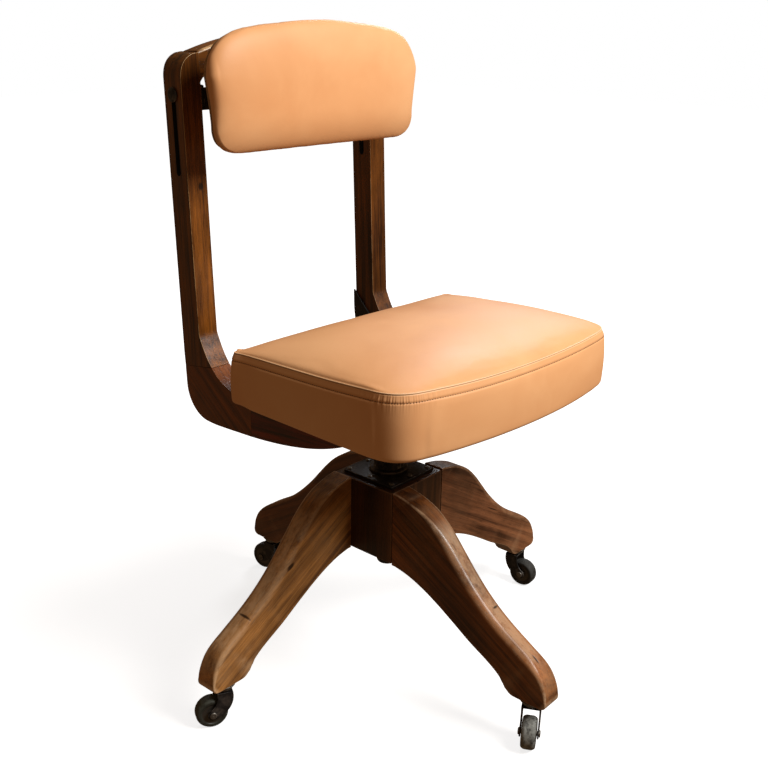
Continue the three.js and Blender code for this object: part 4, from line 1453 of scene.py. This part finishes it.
def seat_rings(loop, inward, seam_rise, pulled, centre):
    """The cushion's skin as rings from the middle of its underside to the middle of its top, with a
    tag for each, the two end points, and the crown as a function of the place."""
    bottom = height_line("seat_board", min)
    top = height_line("seat_cushion", max)
    rings, tags = [], []

    def add(inset, level, tag, shrink=1.0):
        place = loop + inward * np.broadcast_to(inset, len(loop))[:, None]
        place = centre + (place - centre) * shrink
        rings.append([(x, y, level(y, rise)) for (x, y), rise in zip(place, seam_rise)])
        tags.append(tag)

    def at_bottom(rise):
        return lambda y, _: bottom(y) - 0.0022 * smoothstep(-y, -0.070, -0.040) + rise

    def at_top(drop):
        return lambda y, rise: top(y) - SEAM_DROP + rise - drop

    def between(share):
        under, over = at_bottom(SEAT_BOTTOM_ROUND), at_top(STITCH_DROP + 0.004)
        return lambda y, rise: under(y, rise) * (1 - share) + over(y, rise) * share

    for shrink in (0.25, 0.5, 0.75, 0.86):
        add(START_INSET + SEAT_BOTTOM_ROUND, lambda y, _: bottom(y) + 0.0012, "bottom", shrink)
    add(START_INSET + 0.016, lambda y, _: bottom(y) + 0.0006, "bottom")
    for angle in np.linspace(0, math.pi / 2, 6):
        rounded = SEAT_BOTTOM_ROUND * (1 - math.sin(angle))
        add(START_INSET + rounded, at_bottom(SEAT_BOTTOM_ROUND * (1 - math.cos(angle))), "side")
    for share in np.arange(1, 9) / 9:
        bulge = 0.0010 * math.sin(math.pi * share)
        add(START_INSET + pulled * share ** 4 * 0.2 - bulge, between(share), "side")
    for drop, tag in ((0.0030, "side"), (0.0014, "side"), (0.0006, "channel"), (0.0, "stitch"),
                      (-0.0006, "channel"), (-0.0014, "band"), (-0.0030, "band"), (-0.0050, "band")):
        add(START_INSET + pulled * (0.32 - (40 if drop > 0 else 77) * drop), at_top(STITCH_DROP + drop), tag)
    for drop, tag in ((0.0022, "band"), (0.0010, "band"), (0.0004, "lip"), (0.0, "seam")):
        add(START_INSET + pulled * (1 - 60 * drop), at_top(drop), tag)
    for k, tag in enumerate(("lip", "roll", "roll", "roll", "top"), 1):
        angle = math.pi / 2 * k / 5
        add(START_INSET + pulled + SEAT_LIP_ROUND * (1 - math.cos(angle)),
            at_top(-0.0003 - SEAT_LIP_ROUND * math.sin(angle)), tag)
    top_loop = loop + inward * (START_INSET + pulled + SEAT_LIP_ROUND)[:, None]
    crown = dome(top_loop, (2.5, 2.7))
    lip_top = at_top(-0.0003 - SEAT_LIP_ROUND)
    for share in np.arange(1, SEAT_TOP_RINGS) / SEAT_TOP_RINGS:
        ring = centre + (top_loop - centre) * (1 - share ** 1.7)
        rings.append([(x, y, lip_top(y, rise * (1 - share) ** 2) + SEAT_CROWN * crown((x, y)) ** 0.47)
                      for (x, y), rise in zip(ring, seam_rise)])
        tags.append("top")
    first = (*centre, bottom(centre[1]) + 0.0012)
    last = (*centre, lip_top(centre[1], 0) + SEAT_CROWN)
    return rings, tags, (first, last), crown


def seat_swelling(piece, base, tags, inward, crown):
    """How the simulated swelling moves each vertex: the sides outward, and the top under its crown."""
    bottom = height_line("seat_board", min)
    count = len(inward)
    tag_of = vertex_tags(tags, count)
    swollen = cushion_swell(piece, tag_of == "side", lambda p: p[2] < bottom(p[1]) + 0.004)
    swell = np.zeros((len(base), 3))
    swell[:, :2] = on_all_rings(-inward, len(tags)) * (START_INSET * (0.72 + 0.28 * swollen))[:, None]
    ring_of = np.arange(len(base)) // count
    fade = np.clip(1 - (ring_of - tags.index("top")) / 9, 0, 1)
    for i in np.flatnonzero(tag_of == "top"):
        swell[i, :2] *= fade[i]
        swell[i, 2] = TOP_SWELL * (swollen[i] - 0.5) * crown(base[i, :2])
    swell[tag_of == "bottom"] *= np.clip((ring_of[tag_of == "bottom"] - 3) / 2, 0, 1)[:, None]
    return neighbour_average(piece, swell, 2)


def seat_puckers(base, tags, share, corners):
    """How far each vertex lies out of the smooth skin: puckers round the stitching, strongest at the
    front corners, and the grooves of the seam and the stitches."""
    count = (len(base) - 2) // len(tags)
    tag_of = vertex_tags(tags, count)
    start = tags.index("seam") * count
    seam_height = base[start:start + count, 2]
    below_seam = on_all_rings(seam_height, len(tags)) - base[:, 2]
    near_stitch = np.exp(-((below_seam - 0.75 * STITCH_DROP) / 0.0052) ** 2)
    corner_pull = 0.30 + 1.9 * sum(near(base, corner, 0.040) for corner in corners)
    ripple = wave(230, SEED)(share) * 0.00050 + wave(110, SEED + 1)(share) * 0.00040
    out = np.where(np.isin(tag_of, ["bottom", "top"]), 0, ripple * near_stitch * corner_pull)
    for tag, height in (("stitch", -0.0007), ("channel", -0.0004), ("seam", -0.0011), ("roll", 0.0004),
                        ("band", 0.0003)):
        out[tag_of == tag] += height
    return out


def seat_cushion(leather, thread):
    loop, loop_share, corners = seat_outline()
    low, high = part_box("seat_cushion")
    centre = np.array([0.0, (low.y + high.y) / 2])
    inward = inward_normals(loop)
    front_right = near(loop, corners[1], 0.040)
    loop -= inward * (0.0035 * near(loop, (-0.207, high.y), 0.016))[:, None]
    loop += inward * (0.0015 * front_right)[:, None]
    seam_rise = 0.0035 * near(loop, corners[0], 0.070) - 0.0010 * front_right
    seam_rise += [0.0030 * smoothstep(x, 0.10, 0.20) * smoothstep(y, -0.17, -0.06) for x, y in loop]
    pulled = 0.0042 + 0.0016 * front_right
    rings, tags, ends, crown = seat_rings(loop, inward, seam_rise, pulled, centre)
    piece = ring_mesh("seat_leather", rings, *ends)
    base, normals = coordinates(piece), vertex_normals(piece)
    base = base + seat_swelling(piece, base, tags, inward, crown)
    share = on_all_rings(loop_share, len(rings))
    final = base + normals * seat_puckers(base, tags, share, corners)[:, None]
    move_vertices(piece, final)
    tag_of = vertex_tags(tags, len(loop))
    # edge paints shade into the seam groove (1.0) and into the stitch channel (0.35)
    set_attribute(piece, "edge", np.where(tag_of == "seam", 1.0, np.where(tag_of == "stitch", 0.35, 0.0)))
    # roll marks the lip and roll rings that carry the painted highlight
    set_attribute(piece, "roll", np.isin(tag_of, ["lip", "roll"]))
    piece.data.materials.append(leather)
    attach(piece, "seat")
    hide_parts("seat_cushion")

    row = tags.index("stitch") * len(loop) + np.arange(len(loop))
    row_normals = vertex_normals(piece)[row]
    stitches = stitch_row("seat_stitching", final[row] + row_normals * 0.0002, row_normals,
                          STITCH_PITCH, STITCH_LENGTH, STITCH_THICKNESS)
    stitches.data.materials.append(thread)
    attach(stitches, "seat")


def pad_outline(level):
    """The pad's outline, a little narrower at the top and fuller below than the CAD one."""
    loop = refined(section("back_pad", PAD_BASIS, level)[0], 0.003, 0.6)
    centre = (loop.max(0) + loop.min(0)) / 2
    half = (loop[:, 1].max() - loop[:, 1].min()) / 2
    for point in loop:
        height = (point[1] - centre[1]) / half
        sideways = abs(point[0] - centre[0]) / (loop[:, 0].max() - centre[0])
        point[1] -= PAD_DEEPENING * smoothstep(-height, 0.2, 0.9)
        point[1] += PAD_SQUARING * smoothstep(height, 0.2, 0.8) * smoothstep(sideways, 0.3, 0.8)
        point[0] *= 1.014 - PAD_NARROWING * smoothstep(height, -1.0, 0.1)
        point[0] += PAD_SHIFT
    return loop


def pad_rings(loop, inward, centre, rear_level, rim_level, depth):
    """The pad's skin as rings from the middle of its rear to the middle of its face, with a tag for
    each, the two end points, and the crown as a function of the place."""
    rings, tags = [], []

    def put(u, v, level):
        return PAD_BASIS[0] * float(u) + PAD_BASIS[1] * float(v) + PAD_BASIS[2] * level

    def add(inset, level, tag, shrink=1.0):
        place = centre + (loop + inward * inset - centre) * shrink
        rings.append([put(u, v, level) for u, v in place])
        tags.append(tag)

    for shrink in (0.3, 0.6, 0.85):
        add(START_INSET + 0.008, rear_level, "rear", shrink)
    add(START_INSET + 0.0062, rear_level, "rear")
    add(START_INSET + 0.0042, rear_level + 0.0006, "rear")
    for share in np.arange(7) / 6:
        add(START_INSET + 0.0034 * (1 - share) ** 2, rear_level + 0.0014 + 0.0086 * share, "side")
    rim = loop + inward * START_INSET
    crown = dome(rim, (2.2, 3.6))
    for share in np.arange(1, PAD_FACE_RINGS) / PAD_FACE_RINGS:
        ring = []
        for u, v in centre + (rim - centre) * (1 - share ** 2.3):
            low_down = smoothstep(centre[1] - v, -0.01, 0.065)
            ring.append(put(u, v, rim_level + depth * crown((u, v)) ** (0.31 + 0.24 * low_down)))
        rings.append(ring)
        tags.append("face")
    return rings, tags, (put(*centre, rear_level), put(*centre, rim_level + depth)), crown


def pad_swelling(piece, base, normals, tags, inward, crown, rear_level):
    """How the simulated swelling moves each vertex: the sides outward, and the face forward too."""
    across, up, forward = (np.array(way) for way in PAD_BASIS)
    count = len(inward)
    tag_of = vertex_tags(tags, count)
    swollen = cushion_swell(piece, tag_of == "side", lambda p: p @ forward < rear_level + 0.004)
    plan_way = on_all_rings(-inward, len(tags))
    world_way = plan_way[:, :1] * across + plan_way[:, 1:] * up
    reach = START_INSET * (0.8 + 0.2 * swollen)
    swell = np.where((tag_of == "face")[:, None], normals, world_way) * reach[:, None]
    swell[:4 * count] = 0
    swell[len(tags) * count] = 0
    for i in np.flatnonzero(tag_of == "face"):
        swell[i] += forward * (TOP_SWELL * (swollen[i] - 0.5) * crown((base[i] @ across, base[i] @ up)))
    return neighbour_average(piece, swell, 6)


def pad_board(outline, ply):
    """The pad's ply board, which follows the pad's own outline."""
    board = refined(outline, 0.004, 0.6)
    board += inward_normals(board) * 0.0040
    parts = prism_parts([board], PAD_BASIS, *extent("back_board", PAD_BASIS[2]), 0.0010)
    finish_piece(plates_piece("back_board", [parts]), ply, "back_rest", "plywood", "back_board")


def back_pad(leather, ply):
    forward = PAD_BASIS[2]
    rear, front = extent("back_pad", forward)
    outline = pad_outline((rear + front) / 2)
    loop, loop_share = evenly(outline, PAD_POINTS)
    inward = inward_normals(loop)
    centre = (loop.max(0) + loop.min(0)) / 2
    rear_level = extent("back_board", forward)[0] + 0.0040
    rim_level = rear_level + 0.0100
    depth = front - START_INSET - PAD_SLIMMING - rim_level
    rings, tags, ends, crown = pad_rings(loop, inward, centre, rear_level, rim_level, depth)
    piece = ring_mesh("pad_leather", rings, *ends)
    base, normals = coordinates(piece), vertex_normals(piece)
    final = base + pad_swelling(piece, base, normals, tags, inward, crown, rear_level)
    share = on_all_rings(loop_share, len(rings))
    ripple = wave(60, SEED + 5)(share) * 0.00030 + wave(22, SEED + 7)(share) * 0.0005
    fade = np.exp(-((base @ np.array(forward) - rear_level - 0.006) / 0.007) ** 2)
    at_rear = vertex_tags(tags, len(loop)) == "rear"
    move_vertices(piece, final + normals * np.where(at_rear, 0, ripple * fade)[:, None])
    # edge: a flat darkening on the rear, and painted shade growing towards the face's lower edge, where it turns
    # down
    lowness = (centre[1] - base @ np.array(PAD_UP)) / (loop[:, 1].max() - centre[1])
    set_attribute(piece, "edge", np.where(at_rear, 0.5, 0.62 * np.clip((lowness - 0.40) / 0.60, 0, 1) ** 1.4))
    piece.data.materials.append(leather)
    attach(piece, "back_rest")
    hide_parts("back_pad")
    pad_board(outline, ply)


# ---------------------------------------------------------------- the chair
def paint_cad_nodes(materials):
    """Gives every CAD node that is still shown its material."""
    slots = {row["node"]: row["material_slot"] for row in frame["record"]["subparts"]}
    for name, piece in frame["nodes"].items():
        if not piece.hide_render:
            piece.data.materials.clear()
            piece.data.materials.append(materials[slots[name]])


add_camera()
add_softbox("key", KEY_AT, KEY_SIZE, KEY_POWER, KEY_COLOUR)
add_softbox("rim", RIM_AT, RIM_SIZE, RIM_POWER, RIM_COLOUR)
add_world()
add_floor()
scene.view_settings.view_transform = "Standard"

# the last leather colour is the painted highlight on the seat's rolled lip
leather = leather_material("leather", (0.83, 0.440, 0.205), (0.75, 0.365, 0.160), (0.86, 0.52, 0.275),
                           (1.0, 0.78, 0.52))
thread = thread_material("thread", (0.17, 0.075, 0.032))
black = steel_material("black_steel", (0.012, 0.011, 0.012), (0.24, 0.22, 0.20), 0.42, 0.35)
bright = steel_material("worn_steel", (0.10, 0.092, 0.082), (0.34, 0.32, 0.29), 0.45, 0.85, 0.35)
gusset_black = steel_material("gusset_steel", (0.006, 0.0055, 0.006), (0.05, 0.045, 0.04), 0.62, 0.0)
rubbers = {
    "left": rubber_material("wheel_rubber_left", (0.020, 0.022, 0.018), (0.085, 0.095, 0.078)),
    "front": rubber_material("wheel_rubber_front", (0.016, 0.016, 0.016), (0.26, 0.27, 0.255)),
    # little dust on the right wheel: some real, and kept low so that its dark tread is painted shade
    "right": rubber_material("wheel_rubber_right", (0.009, 0.009, 0.009), (0.030, 0.031, 0.029)),
    "rear": rubber_material("wheel_rubber_rear", (0.010, 0.010, 0.010), (0.040, 0.041, 0.038)),
}
ply = ply_material("plywood", (0.42, 0.25, 0.12), (0.26, 0.14, 0.06))

for leg_name in LEG_TURNS:
    leg_piece(leg_name)
# the gusset steel also paints the slot walls near-black, as painted shade in the slots
frame_wood = back_frame(gusset_black)
hub_and_battens(frame_wood)
steel_parts(black, bright, gusset_black)
for leg_name in LEG_TURNS:
    caster(leg_name, black, bright, rubbers[leg_name])
seat_cushion(leather, thread)
back_pad(leather, ply)
paint_cad_nodes({"frame_wood": frame_wood, "plywood": ply, "black_steel": black, "worn_steel": bright})
